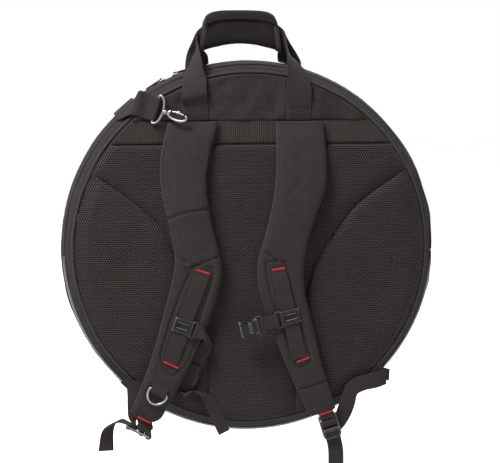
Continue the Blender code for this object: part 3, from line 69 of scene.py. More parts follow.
# The bag's own frame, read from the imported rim
PIPING = 3 * MM
BACK_DEPTH = 45 * MM
FRONT_DEPTH = 50 * MM
RIM_LOW, RIM_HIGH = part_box("piping_back")
EDGE = (RIM_HIGH.x - RIM_LOW.x) / 2 - PIPING
CENTRE = Vector(((RIM_LOW.x + RIM_HIGH.x) / 2, (RIM_LOW.y + RIM_HIGH.y) / 2 + BACK_DEPTH,
                 (RIM_LOW.z + RIM_HIGH.z) / 2))
BULGE_RISE = 19 * MM
BULGE_DROP = 4 * MM
FOLD = CENTRE.z - 9 * MM
BACK_SEAT = CENTRE.y - 50 * MM
FRONT_SEAT = CENTRE.y + 55 * MM
COVER = EDGE - 3.1 * MM
HEM = CENTRE.z + 210.5 * MM
BAND_LOW = HEM - 38 * MM
SEAM = 0.3 * MM
STRAP_WALL = 12 * MM
STRAP_MIDDLE = BACK_SEAT - 9 * MM
STRAP_STAND = 16.4 * MM
WEBBING_WALL = 1.8 * MM
ZIP_DEPTH = 22 * MM
ZIP_HALF = 11.5 * MM

# Creases and strap edges, as shares of the rim's radius across and up
LEFT_CREASE = ((-0.911, 0.450), (-0.812, 0.385), (-0.692, 0.300), (-0.572, 0.197), (-0.494, 0.112),
               (-0.441, 0.007), (-0.401, -0.115), (-0.325, -0.330), (-0.262, -0.560), (-0.246, -0.760),
               (-0.246, -0.950))
RIGHT_CREASE = ((0.886, 0.450), (0.798, 0.393), (0.715, 0.336), (0.632, 0.271), (0.567, 0.206), (0.480, 0.085),
                (0.402, -0.032), (0.349, -0.135), (0.318, -0.250), (0.288, -0.420), (0.270, -0.600),
                (0.262, -0.780), (0.260, -0.950))
LEFT_STRAP = (((-0.464, 0.726), (-0.183, 0.726)), ((-0.509, 0.519), (-0.239, 0.519)),
              ((-0.502, 0.329), (-0.253, 0.346)), ((-0.457, 0.121), (-0.215, 0.121)),
              ((-0.433, -0.048), (-0.170, -0.069)), ((-0.460, -0.208), (-0.187, -0.211)),
              ((-0.516, -0.415), (-0.253, -0.415)), ((-0.581, -0.640), (-0.360, -0.657)),
              ((-0.685, -0.900), (-0.505, -0.934)), ((-0.692, -0.941), (-0.536, -0.983)))
RIGHT_STRAP = (((0.138, 0.726), (0.405, 0.726)), ((0.138, 0.516), (0.419, 0.519)),
               ((0.125, 0.329), (0.415, 0.363)), ((0.083, 0.125), (0.356, 0.190)),
               ((0.038, -0.035), (0.304, 0.000)), ((0.035, -0.190), (0.294, -0.201)),
               ((0.083, -0.363), (0.343, -0.419)), ((0.187, -0.640), (0.398, -0.647)),
               ((0.329, -0.958), (0.484, -0.917)))
STANDS = (0.0, 0.62, 0.9, 1.0, 1.0, 1.0, 1.0, 1.0, 0.8, 0.8)

# Sewn lines on the straps, across and up in millimetres
LEFT_SEAMS = (((-128, -284), (-106, -272), (-86, -267), (-54, -263)),
              ((-92, -359), (-71, -352), (-42, -341), (-30, -337)))
RIGHT_SEAMS = (((20, -324), (39, -337), (54, -348)),
               ((88, -563), (112, -557), (138, -549)))
LEFT_CHANNEL = ((-55, -357), (-78, -355), (-94, -382), (-109, -420), (-125, -465), (-134, -496),
                (-133, -512), (-118, -535), (-98, -522), (-86, -500), (-75, -455), (-62, -415), (-52, -384),
                (-49, -366), (-55, -357))
RIGHT_CHANNEL = ((36, -352), (39, -372), (46, -406), (54, -429), (66, -466), (78, -500), (88, -524),
                 (108, -519), (109, -507), (104, -488), (93, -457), (84, -427), (78, -407), (72, -376),
                 (67, -353), (50, -349), (36, -352))
LEFT_STRIP = ((-0.273, -0.097), (-0.464, -0.623))
RIGHT_STRIP = ((0.142, -0.087), (0.268, -0.609))
BARTACKS = (("strap_left", (-76, -361), (-55, -368), 83.6), ("strap_left", (-131, -511), (-107, -522), 83.6),
            ("strap_left", (-173, -603), (-153, -614), 77.6), ("strap_right", (46, -363), (67, -360), 83.6),
            ("strap_right", (87, -516), (107, -508), 83.6), ("strap_right", (126, -606.6), (147.5, -600.1), 77.6))

# Webbing stations in millimetres: a place and the full width across it
HANDLE_BACK = ((-75, -43.8, -122.5, 40, 0, 0), (-75, -43.8, -103, 40, 0, 0), (-75.5, -44, -96, 40, 0, 3),
               (-76.5, -47.5, -90.5, 40, 0, 6), (-77.5, -51.6, -84, 41, -1, 7), (-77.5, -52, -76, 40, -2, 7),
               (-77, -50, -66, 39, -4, 4), (-76, -46, -54, 36, -8, 1),
               (-75.5, -40, -42, 26, -20, 2), (-73.5, -31, -27, 15, -29, 7), (-72.5, -17, -13, 7, -26, 15),
               (-69, -7, 1, -4, -12, 22), (-60, -4.2, 12.5, -8, 0, 24.5), (-37.5, -4.2, 20.5, -3, 0, 31),
               (0, -4.2, 25, 0, 0, 37.6), (46, -4.2, 19.5, 3, 0, 31), (64, -4.2, 11.5, 8, 0, 24.5),
               (71.5, -7, 1.5, 4, -12, 22), (76.5, -17, -12, -7, -26, 15), (81, -31, -27, -17, -28, 3),
               (86.5, -40, -42, -27, -19, -4), (90.5, -45, -56, -36, -8, -2), (92, -47, -69, -40, -3, 2),
               (92, -46, -83, -40, 0, 2), (92, -43.8, -96, -40, 0, 0), (92, -43.8, -122.5, -40, 0, 0))
HANDLE_FRONT = ((-70, 0, -38.6, 38.3, 0, 11), (-70, 8, -37.6, 38.3, 0, 11), (-70, 13.2, -26, 37, 7.9, 10),
                (-71, 13.8, -15, 29, 8, 2), (-70, 9, -2, 15, 3, -9), (-67, 5.5, 7.5, 9, 1, -17),
                (-60, 4.2, 13.5, 7, 0, -21), (-37.5, 4.2, 20.5, 2.5, 0, -26.3), (0, 4.2, 25, 0, 0, -26.4),
                (46, 4.2, 19.5, -3, 0, -26.3), (62, 4.2, 13, -8, 0, -21), (70, 5.5, 6, -9, 1, -17),
                (75, 9, -4, -15, 3, -9), (79, 13.8, -15.5, -29, 8, 2), (82, 13.2, -25.5, -37.7, 7.9, 10),
                (82, 8, -34, -38.7, 0, 9.4), (82, 0, -35, -38.7, 0, 9.4))
CHEST_LEFT = ((-79.4, -74.8, -460, 7.5, 0, 20.7), (-80.2, -77, -459.7, 7.5, 0, 20.7),
              (-79.4, -79.2, -460, 7.5, 0, 20.7), (-77.3, -80.1, -460.8, 7.5, 0, 20.7),
              (-75.1, -79, -461.6, 7.5, 0, 20.7), (-63, -79, -466, -6.6, 0, 20.9),
              (-58.6, -58.8, -485.8, 15.6, 0, -8.1), (-74.8, -54, -517, 19.5, 0, -10.1),
              (-83.9, -54, -534.6, 19.5, 0, -10.1))
CHEST_RIGHT = ((55.4, -74.8, -445.3, -5.2, 0, 21.4), (56.3, -77, -445.1, -5.2, 0, 21.4),
               (55.4, -79.2, -445.3, -5.2, 0, 21.4), (53.3, -80.1, -445.8, -5.2, 0, 21.4),
               (51, -79, -446.3, -5.2, 0, 21.4), (41.4, -79, -448.6, -5.2, -0, 21.4),
               (29.7, -79, -451.5, -5.2, -0, 21.4))
D_RING_LOOP = ((-132.6, -71, -549.8, 24, 0, -13.5), (-134.3, -73.4, -552.8, 24, 0, -13.5),
               (-135.9, -76.2, -555.6, 24, 0, -13.5), (-138.9, -78.3, -560.9, 24, 0, -13.5),
               (-141.2, -77, -565, 24, 0, -13.5), (-141.9, -74.6, -566.2, 24, 0, -13.5),
               (-141, -72.3, -564.6, 24, 0, -13.5), (-138.9, -71.5, -560.9, 24, 0, -13.5))
LOOP_LEFT = ((-162.3, -62.1, -600.2, 24.6, 0, -10.8), (-162, -62.1, -611, 25, 1, -9),
             (-160, -62.1, -621, 24, 8, -9), (-156.5, -62.1, -628.5, 11, 21, -5), (-152.4, -62.1, -633.5, 2, 25, 0),
             (-151.8, -62.1, -637.5, 0, 25, 0), (-155.8, -62.1, -640.1, 0, 25, 0), (-159.6, -62.1, -638.4, 0, 25, 0),
             (-161, -62.1, -636, 0, 25, 0), (-160.7, -62.1, -633.2, 0, 25, 0), (-158.3, -62.1, -631.2, 0, 25, 0),
             (-155.1, -62.1, -631.5, 0, 25, 0))
ADJUST_LEFT = ((-173.4, -62.1, -620.1, 0, 25, 0), (-165.3, -62.1, -626.1, 0, 25, 0),
               (-163.3, -62.1, -628.5, 0, 25, 0), (-163.6, -62.1, -631.7, 0, 25, 0),
               (-166, -62.1, -633.7, 0, 25, 0), (-169.2, -62.1, -633.4, 0, 25, 0),
               (-171.2, -62.1, -630.9, 0, 25, 0), (-170.9, -62.1, -627.8, 0, 25, 0),
               (-172.1, -62.1, -624, 0, 25, 0), (-180.5, -62.1, -619.6, 0, 25, 0),
               (-188.9, -62.1, -615.1, 0, 25, 0), (-201.3, -62.1, -610.6, 7.5, 23.8, 0),
               (-214.3, -62.1, -615.8, 14.2, 20.6, 0), (-222.4, -62.1, -628.8, 20, 15, 0),
               (-225.3, -62.1, -660.6, 24.9, 2.5, 0))
ANCHOR_LEFT = ((-178, -42.9, -549, 26, 0, 0), (-176.5, -46, -571, 26, 0, 0), (-176.5, -51.5, -590, 26, 4, 0),
               (-178, -57.5, -604, 21, 13, 0), (-178.5, -61.5, -613, 7, 24, 0), (-176.3, -62.1, -616.9, 0, 25, 0))
LOOP_RIGHT = ((136.7, -58.8, -604.4, 23.9, 0, 7.3), (138.6, -58, -610.6, 23.9, 0, 7.3),
              (139.4, -59.2, -613.4, 23.9, 0, 7.3), (139.8, -62.1, -614.5, 23.9, 0, 7.3),
              (139.4, -65, -613.4, 23.9, 0, 7.3), (138.6, -66.2, -610.6, 23.9, 0, 7.3),
              (136.7, -65.4, -604.4, 23.9, 0, 7.3))
ADJUST_RIGHT = ((144.8, -56.5, -631.1, 23.9, 0, 7.3), (141.9, -58, -621.6, 23.9, 0, 7.3),
                (140.8, -59.2, -617.7, 23.9, 0, 7.3), (140.3, -62.1, -616.4, 23.9, 0, 7.3),
                (140.8, -65, -617.7, 23.9, 0, 7.3), (141.9, -66.2, -621.6, 23.9, 0, 7.3),
                (142.7, -65, -624.4, 23.9, 0, 7.3), (143.1, -62.1, -625.5, 23.9, 0, 7.3),
                (143.9, -59.4, -628.3, 23.9, 0, 7.3), (146.7, -59.4, -637.4, 23.9, 0, 7.3),
                (149.4, -59.4, -646.5, 23.9, 0, 7.3), (153.7, -59.4, -667.7, 25, 0, 0),
                (154.5, -59.4, -697.5, 25, 0, 0), (154.5, -59.4, -731.5, 25, 0, 0))
ANCHOR_RIGHT = ((239, -42.5, -550, -3, 0, 27), (224, -50.2, -553.5, -1, 0, 27), (205, -52.2, -557, 0, 2, 26),
                (189, -53.4, -562, -8, 5, 24), (180.5, -53, -570, -17, 4, 18), (174.5, -52.4, -588, -23.5, 2, 11),
                (167.5, -51.9, -609, -24.5, 0, 7), (158.5, -51.2, -628, -25, 0, 0),
                (148.8, -50.8, -644.3, -23.9, 0, -7.3), (149, -52.6, -645, -23.9, 0, -7.3),
                (148.8, -54.4, -644.3, -23.9, 0, -7.3), (147.4, -55.1, -639.8, -23.9, 0, -7.3),
                (146, -55.1, -635, -23.9, 0, -7.3))
SLING = ((-190.7, 19, -102.4, 30.2, 0, 26.2), (-191, 13, -102.2, 30.2, 0, 26.2),
         (-188.9, -5.8, -103.9, 30.2, 0, 26.2), (-183.8, -23.8, -107.8, 28.5, 0, 28.1),
         (-171.3, -44.8, -93.8, 12, 0, 38.2), (-154.1, -44.5, -99.2, 12, 0, 38.2),
         (-138.9, -44.5, -104, 11, 0, 35), (-136.6, -45.5, -104.7, 11, 0, 35),
         (-135.6, -47.9, -105, 11, 0, 35), (-136.6, -50.3, -104.7, 11, 0, 35),
         (-138.9, -51.3, -104, 11, 0, 35), (-152.2, -46.9, -99.8, 12, 0, 38.2),
         (-161.8, -48.8, -96.8, 12, 0, 38.2))

# The free end of the left chest webbing, from behind the strap down past the bag's edge
CHEST_TAIL = ((-77.5, -57.4, -522, 19.5, 0, -10.1), (-86, -57.5, -538.5, 19.5, 0, -10.1),
              (-94, -57.2, -554, 19, 0, -10.4), (-100, -56.8, -565, 13, 2.5, -13), (-96, -60.5, -570.5, 3, 15, -10),
              (-87, -62.5, -564.5, 2, 18, -6), (-76, -62.5, -565.5, 4, 18, -3), (-65, -61.5, -571, 9, 16, 3),
              (-56.5, -58.5, -583, 14, 9, 8), (-47.5, -56.5, -600, 16.5, 5, 9), (-38, -57, -620.5, 17.5, 3, 8.8),
              (-31, -57.5, -635.5, 17.8, 2, 8.4))

# Tab corners as shares of the rim's radius
TAB_LEFT = ((-0.690, -0.722), (-0.652, -0.757), (-0.700, -0.800), (-0.745, -0.755))
TAB_RIGHT = ((0.686, -0.736), (0.724, -0.686), (0.805, -0.708), (0.803, -0.772), (0.725, -0.790))

# Pinched folds on the straps: both ends in millimetres, reach and depth
STRAP_FOLDS = {"left": (((-118, -336), (-92, -349), 3.2, 2.0), ((-112, -347), (-90, -352), 2.6, 1.3),
                        ((-62, -262), (-50, -275), 4.0, 0.8)),
               "right": (((95, -218), (72, -242), 5.0, 0.9), ((38, -300), (22, -312), 4.0, 0.9))}

# The main zip's sliders: the plate's middle, the pull's pivot, the way along and the way out
ZIP_FRAMES = {"left": ((-126.07, 32.67, -62.33), (-127.05, 33.47, -60.41), (-0.891, 0, -0.454),
                       (-0.4252, 0.3505, 0.8345)),
              "right": ((-104.07, 32.67, -52.19), (-104.89, 33.47, -50.2), (0.9239, 0, 0.3827),
                        (-0.3584, 0.3505, 0.8653))}


class BagSizes(bpy.types.PropertyGroup):
    """Sizes of the bag's cloth details."""
    piping_radius: bpy.props.FloatProperty(
        name="Piping radius", description="Radius of the piping round the panels",
        default=2.9 * MM, unit="LENGTH")
    lobe_height: bpy.props.FloatProperty(
        name="Lobe height", description="How far the side pads stand off the back",
        default=10 * MM, unit="LENGTH")
    centre_height: bpy.props.FloatProperty(
        name="Centre pad height", description="How far the centre pad stands off the back",
        default=9 * MM, unit="LENGTH")
    crease_height: bpy.props.FloatProperty(
        name="Crease height", description="Height of the pads at their creases",
        default=0.3 * MM, unit="LENGTH")
    crease_reach: bpy.props.FloatProperty(
        name="Crease reach", description="Width over which the centre pad falls to a crease",
        default=36 * MM, unit="LENGTH")
    rib_pitch: bpy.props.FloatProperty(
        name="Rib pitch", description="Distance between the elastic band's ribs",
        default=3.5 * MM, unit="LENGTH")
    stitch_pitch: bpy.props.FloatProperty(
        name="Stitch pitch", description="Distance from stitch to stitch",
        default=3.4 * MM, unit="LENGTH")
    stitch_radius: bpy.props.FloatProperty(
        name="Thread radius", description="Radius of the sewing thread",
        default=0.32 * MM, unit="LENGTH")
    weave_pitch: bpy.props.FloatProperty(
        name="Weave pitch", description="Distance between the shell cloth's yarns",
        default=0.95 * MM, unit="LENGTH")
    mesh_pitch: bpy.props.FloatProperty(
        name="Mesh pitch", description="Distance between the air mesh's holes",
        default=4.0 * MM, unit="LENGTH")


def shade(red, green, blue, words):
    """A colour property with a default."""
    return bpy.props.FloatVectorProperty(
        name=words, description="Colour of the " + words.lower(), subtype="COLOR",
        size=3, min=0.0, max=1.0, default=(red, green, blue))


class BagColours(bpy.types.PropertyGroup):
    """Colours of the bag's materials."""
    shell: shade(0.032, 0.028, 0.0265, "Shell cloth")
    mesh: shade(0.024, 0.0205, 0.019, "Air mesh")
    elastic: shade(0.036, 0.031, 0.028, "Ribbed elastic")
    strap: shade(0.035, 0.0305, 0.0295, "Strap cloth")
    # The grip's colour is the strap cloth's made darker: painted shade on the grip.
    grip_shaded: shade(0.016, 0.0138, 0.013, "Grip cloth with painted shade")
    webbing: shade(0.027, 0.0235, 0.022, "Webbing")
    binding: shade(0.030, 0.026, 0.025, "Piping and binding")
    lining: shade(0.060, 0.056, 0.054, "Lining")
    tape: shade(0.014, 0.013, 0.013, "Zip tape")
    thread: shade(0.012, 0.011, 0.011, "Sewing thread")
    tack: shade(0.46, 0.012, 0.022, "Bartack thread")
    plastic: shade(0.012, 0.011, 0.011, "Moulded plastic")
    steel: shade(0.24, 0.23, 0.215, "Plated steel")


def sizes():
    """The sizes set in the sidebar."""
    return bpy.context.scene.bag_sizes


def tint(name):
    """A colour set in the sidebar, with alpha."""
    return (*getattr(bpy.context.scene.bag_colours, name), 1.0)


def wire_up(tree, kind, links=None, **settings):
    """A shader node with its settings, plain values and linked inputs."""
    item = tree.nodes.new(kind)
    for key, value in settings.items():
        setattr(item, key, value)
    for key, value in (links or {}).items():
        if isinstance(value, bpy.types.NodeSocket):
            tree.links.new(value, item.inputs[key])
        else:
            item.inputs[key].default_value = value
    return item


def calc(tree, operation, *values):
    """A Math node's output."""
    links = dict(enumerate(values))
    return wire_up(tree, "ShaderNodeMath", links, operation=operation).outputs[0]


def calc_vector(tree, operation, *values):
    """A Vector Math node's vector output."""
    links = dict(enumerate(values))
    return wire_up(tree, "ShaderNodeVectorMath", links, operation=operation).outputs[0]


def mix_colour(tree, factor, first, second, blend="MIX"):
    """The result of mixing two colours."""
    item = wire_up(tree, "ShaderNodeMix", {0: factor, 6: first, 7: second}, data_type="RGBA", blend_type=blend)
    return item.outputs[2]


def new_group(name, inputs, outputs):
    """A node group with named sockets; gives its tree, its input node and its output node."""
    tree = bpy.data.node_groups.new(name, "ShaderNodeTree")
    for label, kind, value in inputs:
        socket = tree.interface.new_socket(name=label, in_out="INPUT", socket_type="NodeSocket" + kind)
        if value is not None:
            socket.default_value = value
    for label, kind in outputs:
        tree.interface.new_socket(name=label, in_out="OUTPUT", socket_type="NodeSocket" + kind)
    return tree, tree.nodes.new("NodeGroupInput"), tree.nodes.new("NodeGroupOutput")


def weave_group():
    """Plain weave: crossing yarns that go over and under each other."""
    tree, source, out = new_group("plain_weave", [("Place", "Vector", None), ("Pitch", "Float", 0.001)],
                                  [("Height", "Float")])
    turn = calc(tree, "DIVIDE", math.pi, source.outputs["Pitch"])
    scaled = wire_up(tree, "ShaderNodeVectorMath", {0: source.outputs["Place"], "Scale": turn}, operation="SCALE")
    parts = wire_up(tree, "ShaderNodeSeparateXYZ", {0: scaled.outputs[0]})
    warp = calc(tree, "SINE", parts.outputs[0])
    weft = calc(tree, "SINE", parts.outputs[1])
    over = calc(tree, "GREATER_THAN", calc(tree, "MULTIPLY", warp, weft), 0.0)
    warp_ridge = calc(tree, "ABSOLUTE", warp)
    weft_ridge = calc(tree, "ABSOLUTE", weft)
    first = calc(tree, "MULTIPLY", warp_ridge, calc(tree, "MULTIPLY_ADD", weft_ridge, 0.4, 0.6))
    second = calc(tree, "MULTIPLY", weft_ridge, calc(tree, "MULTIPLY_ADD", warp_ridge, 0.4, 0.6))
    height = wire_up(tree, "ShaderNodeMix", {0: over, 2: first, 3: second}, data_type="FLOAT")
    tree.links.new(height.outputs[0], out.inputs["Height"])
    return tree


def hole_distance(tree, place, offset):
    """How far a place lies from the nearest hole of one of the mesh's two lattices, in pitches."""
    tall = math.sqrt(3)
    shrunk = calc_vector(tree, "MULTIPLY", place, (1.0, 1 / tall, 0.0))
    moved = calc_vector(tree, "ADD", shrunk, (offset, offset, 0.0))
    centred = calc_vector(tree, "SUBTRACT", calc_vector(tree, "FRACTION", moved), (0.5, 0.5, 0.0))
    wide = calc_vector(tree, "MULTIPLY", centred, (1.0, tall, 0.0))
    return wire_up(tree, "ShaderNodeVectorMath", {0: wide}, operation="LENGTH").outputs["Value"]


def air_mesh_group():
    """Spacer mesh: a hexagonal net of round holes."""
    tree, source, out = new_group("air_mesh", [("Place", "Vector", None), ("Pitch", "Float", 0.003)],
                                  [("Height", "Float"), ("Hole", "Float")])
    scale = calc(tree, "DIVIDE", 1.0, source.outputs["Pitch"])
    scaled = wire_up(tree, "ShaderNodeVectorMath", {0: source.outputs["Place"], "Scale": scale}, operation="SCALE")
    near = calc(tree, "MINIMUM", hole_distance(tree, scaled.outputs[0], 0.0),
                hole_distance(tree, scaled.outputs[0], 0.5))
    height = wire_up(tree, "ShaderNodeMapRange", {"Value": near, "From Min": 0.16, "From Max": 0.46},
                     interpolation_type="SMOOTHSTEP")
    tree.links.new(height.outputs[0], out.inputs["Height"])
    hole = wire_up(tree, "ShaderNodeMapRange", {"Value": near, "From Min": 0.36, "From Max": 0.2},
                   interpolation_type="SMOOTHSTEP")
    tree.links.new(hole.outputs[0], out.inputs["Hole"])
    return tree


def webbing_group():
    """Woven webbing: ribs across it in narrow columns, each column half a rib on."""
    tree, source, out = new_group("webbing_ribs", [("Place", "Vector", None), ("Pitch", "Float", 0.0014)],
                                  [("Height", "Float")])
    parts = wire_up(tree, "ShaderNodeSeparateXYZ", {0: source.outputs["Place"]})
    across = calc(tree, "DIVIDE", parts.outputs[0], calc(tree, "MULTIPLY", source.outputs["Pitch"], 1.5))
    along = calc(tree, "DIVIDE", parts.outputs[1], source.outputs["Pitch"])
    shift = calc(tree, "MULTIPLY", calc(tree, "FLOOR", across), 0.5)
    rib = calc(tree, "ABSOLUTE", calc(tree, "SINE", calc(tree, "MULTIPLY", calc(tree, "ADD", along, shift), math.pi)))
    column = calc(tree, "ABSOLUTE", calc(tree, "SINE", calc(tree, "MULTIPLY", across, math.pi)))
    height = calc(tree, "ADD", calc(tree, "MULTIPLY", rib, 0.65), calc(tree, "MULTIPLY", column, 0.35))
    tree.links.new(height, out.inputs["Height"])
    return tree


def tone_group():
    """Cloth tone: patches of fade and dust, and lighter and darker fibres."""
    tree, source, out = new_group(
        "cloth_tone", [("Place", "Vector", None), ("Color", "Color", (0.04, 0.04, 0.04, 1)),
                       ("Patch", "Float", 0.3), ("Fibre", "Float", 0.4), ("Lint", "Float", 0.1)],
        [("Color", "Color"), ("Fade", "Float")])
    patch = wire_up(tree, "ShaderNodeTexNoise", {"Vector": source.outputs["Place"], "Scale": 14.0, "Detail": 6.0,
                                                 "Roughness": 0.68})
    fibre = wire_up(tree, "ShaderNodeTexNoise", {"Vector": source.outputs["Place"], "Scale": 420.0, "Detail": 3.0})
    speck = wire_up(tree, "ShaderNodeTexNoise", {"Vector": source.outputs["Place"], "Scale": 260.0, "Detail": 0.0})
    fade = calc(tree, "SUBTRACT", patch.outputs[0], 0.5)
    grain = calc(tree, "SUBTRACT", fibre.outputs[0], 0.5)
    gain = calc(tree, "ADD", 1.0, calc(tree, "ADD", calc(tree, "MULTIPLY", fade, source.outputs["Patch"]),
                                       calc(tree, "MULTIPLY", grain, source.outputs["Fibre"])))
    scaled = wire_up(tree, "ShaderNodeVectorMath", {0: source.outputs["Color"], "Scale": gain}, operation="SCALE")
    lint = calc(tree, "MULTIPLY", calc(tree, "GREATER_THAN", speck.outputs[0], 0.72), source.outputs["Lint"])
    colour = mix_colour(tree, lint, scaled.outputs[0], (0.20, 0.18, 0.17, 1))
    tree.links.new(colour, out.inputs["Color"])
    tree.links.new(fade, out.inputs["Fade"])
    return tree


def wear_group():
    """Wear and handling on a hard finish: rubbed edges, smears and fine scratches."""
    tree, source, out = new_group(
        "hard_wear", [("Place", "Vector", None), ("Color", "Color", (0.02, 0.02, 0.02, 1)),
                      ("Rough", "Float", 0.3), ("Rub", "Float", 0.5)],
        [("Color", "Color"), ("Rough", "Float"), ("Height", "Float")])
    shape = wire_up(tree, "ShaderNodeNewGeometry")
    edge = wire_up(tree, "ShaderNodeMapRange", {"Value": shape.outputs["Pointiness"], "From Min": 0.52,
                                                "From Max": 0.62})
    smear = wire_up(tree, "ShaderNodeTexNoise", {"Vector": source.outputs["Place"], "Scale": 70.0, "Detail": 4.0})
    grain = wire_up(tree, "ShaderNodeTexNoise", {"Vector": source.outputs["Place"], "Scale": 900.0, "Detail": 2.0})
    rub = calc(tree, "MULTIPLY", edge.outputs[0], source.outputs["Rub"])
    worn = mix_colour(tree, rub, source.outputs["Color"], (0.36, 0.35, 0.34, 1))
    tree.links.new(worn, out.inputs["Color"])
    change = calc(tree, "MULTIPLY", calc(tree, "SUBTRACT", smear.outputs[0], 0.5), 0.22)
    tree.links.new(calc(tree, "ADD", source.outputs["Rough"], change), out.inputs["Rough"])
    tree.links.new(grain.outputs[0], out.inputs["Height"])
    return tree


def rib_group():
    """Ribbed elastic: standing ribs crossed by fine picks."""
    tree, source, out = new_group("standing_ribs", [("Place", "Vector", None), ("Pitch", "Float", 0.003)],
                                  [("Height", "Float")])
    parts = wire_up(tree, "ShaderNodeSeparateXYZ", {0: source.outputs["Place"]})
    turn = calc(tree, "DIVIDE", math.pi, source.outputs["Pitch"])
    rib = calc(tree, "ABSOLUTE", calc(tree, "SINE", calc(tree, "MULTIPLY", parts.outputs[0], turn)))
    pick = calc(tree, "ABSOLUTE", calc(tree, "SINE", calc(tree, "MULTIPLY", parts.outputs[1],
                                                          calc(tree, "MULTIPLY", turn, 2.6))))
    height = calc(tree, "ADD", calc(tree, "MULTIPLY", rib, 0.8), calc(tree, "MULTIPLY", pick, 0.2))
    tree.links.new(height, out.inputs["Height"])
    return tree


GROUP_MAKERS = {"plain_weave": weave_group, "air_mesh": air_mesh_group, "webbing_ribs": webbing_group,
                "standing_ribs": rib_group,
                "cloth_tone": tone_group, "hard_wear": wear_group}


def use_group(tree, name, links):
    """A node that holds one of the shared groups, which is made the first time."""
    group = bpy.data.node_groups.get(name) or GROUP_MAKERS[name]()
    item = tree.nodes.new("ShaderNodeGroup")
    item.node_tree = group
    for key, value in links.items():
        if isinstance(value, bpy.types.NodeSocket):
            tree.links.new(value, item.inputs[key])
        else:
            item.inputs[key].default_value = value
    return item


def blank(name):
    """A new material; gives it with its node tree and Principled shader."""
    made = bpy.data.materials.new(name)
    made.use_nodes = True
    return made, made.node_tree, made.node_tree.nodes["Principled BSDF"]


def cloth(name, colour, pattern, pitch, relief, rough=0.85, sheen=0.05, gloss=0.06, patch=0.3, fibre=0.7, lint=0.02,
          low=0.5, high=1.35):
    """A woven or knitted finish: its pattern feeds the bump and scales the colour, with painted shade in the gaps
    between yarns and painted light on the raised yarns.
    """
    made, tree, shader = blank(name)
    place = wire_up(tree, "ShaderNodeUVMap", uv_map="cloth").outputs[0]
    spot = wire_up(tree, "ShaderNodeTexCoord").outputs["Object"]
    net = use_group(tree, pattern, {"Place": place, "Pitch": pitch})
    tone = use_group(tree, "cloth_tone", {"Place": spot, "Color": tint(colour), "Patch": patch, "Fibre": fibre,
                                          "Lint": lint})
    # Painted shade and light: the colour runs from low times itself in the gaps between yarns to high times itself on
    # the raised yarns.
    lift = calc(tree, "MULTIPLY_ADD", net.outputs["Height"], high - low, low)
    yarn_painted_light_and_shade = wire_up(tree, "ShaderNodeVectorMath", {0: tone.outputs["Color"], "Scale": lift}, operation="SCALE")
    bump = wire_up(tree, "ShaderNodeBump", {"Strength": 0.9, "Distance": relief, "Height": net.outputs["Height"]})
    tree.links.new(yarn_painted_light_and_shade.outputs[0], shader.inputs["Base Color"])
    tree.links.new(bump.outputs[0], shader.inputs["Normal"])
    roughness = calc(tree, "MULTIPLY_ADD", tone.outputs["Fade"], 0.2, rough)
    tree.links.new(roughness, shader.inputs["Roughness"])
    shader.inputs["Specular IOR Level"].default_value = gloss
    shader.inputs["Sheen Weight"].default_value = sheen
    shader.inputs["Sheen Roughness"].default_value = 0.5
    return made


def hard(name, colour, rough, rub, metallic=0.0, gloss=0.5, coat=0.0, grain=0.00003):
    """A moulded or plated finish with rubbed edges, smears and a fine grain."""
    made, tree, shader = blank(name)
    spot = wire_up(tree, "ShaderNodeTexCoord").outputs["Object"]
    wear = use_group(tree, "hard_wear", {"Place": spot, "Color": tint(colour), "Rough": rough, "Rub": rub})
    bump = wire_up(tree, "ShaderNodeBump", {"Strength": 0.5, "Distance": grain, "Height": wear.outputs["Height"]})
    tree.links.new(wear.outputs["Color"], shader.inputs["Base Color"])
    tree.links.new(wear.outputs["Rough"], shader.inputs["Roughness"])
    tree.links.new(bump.outputs[0], shader.inputs["Normal"])
    shader.inputs["Metallic"].default_value = metallic
    shader.inputs["Specular IOR Level"].default_value = gloss
    shader.inputs["Coat Weight"].default_value = coat
    return made


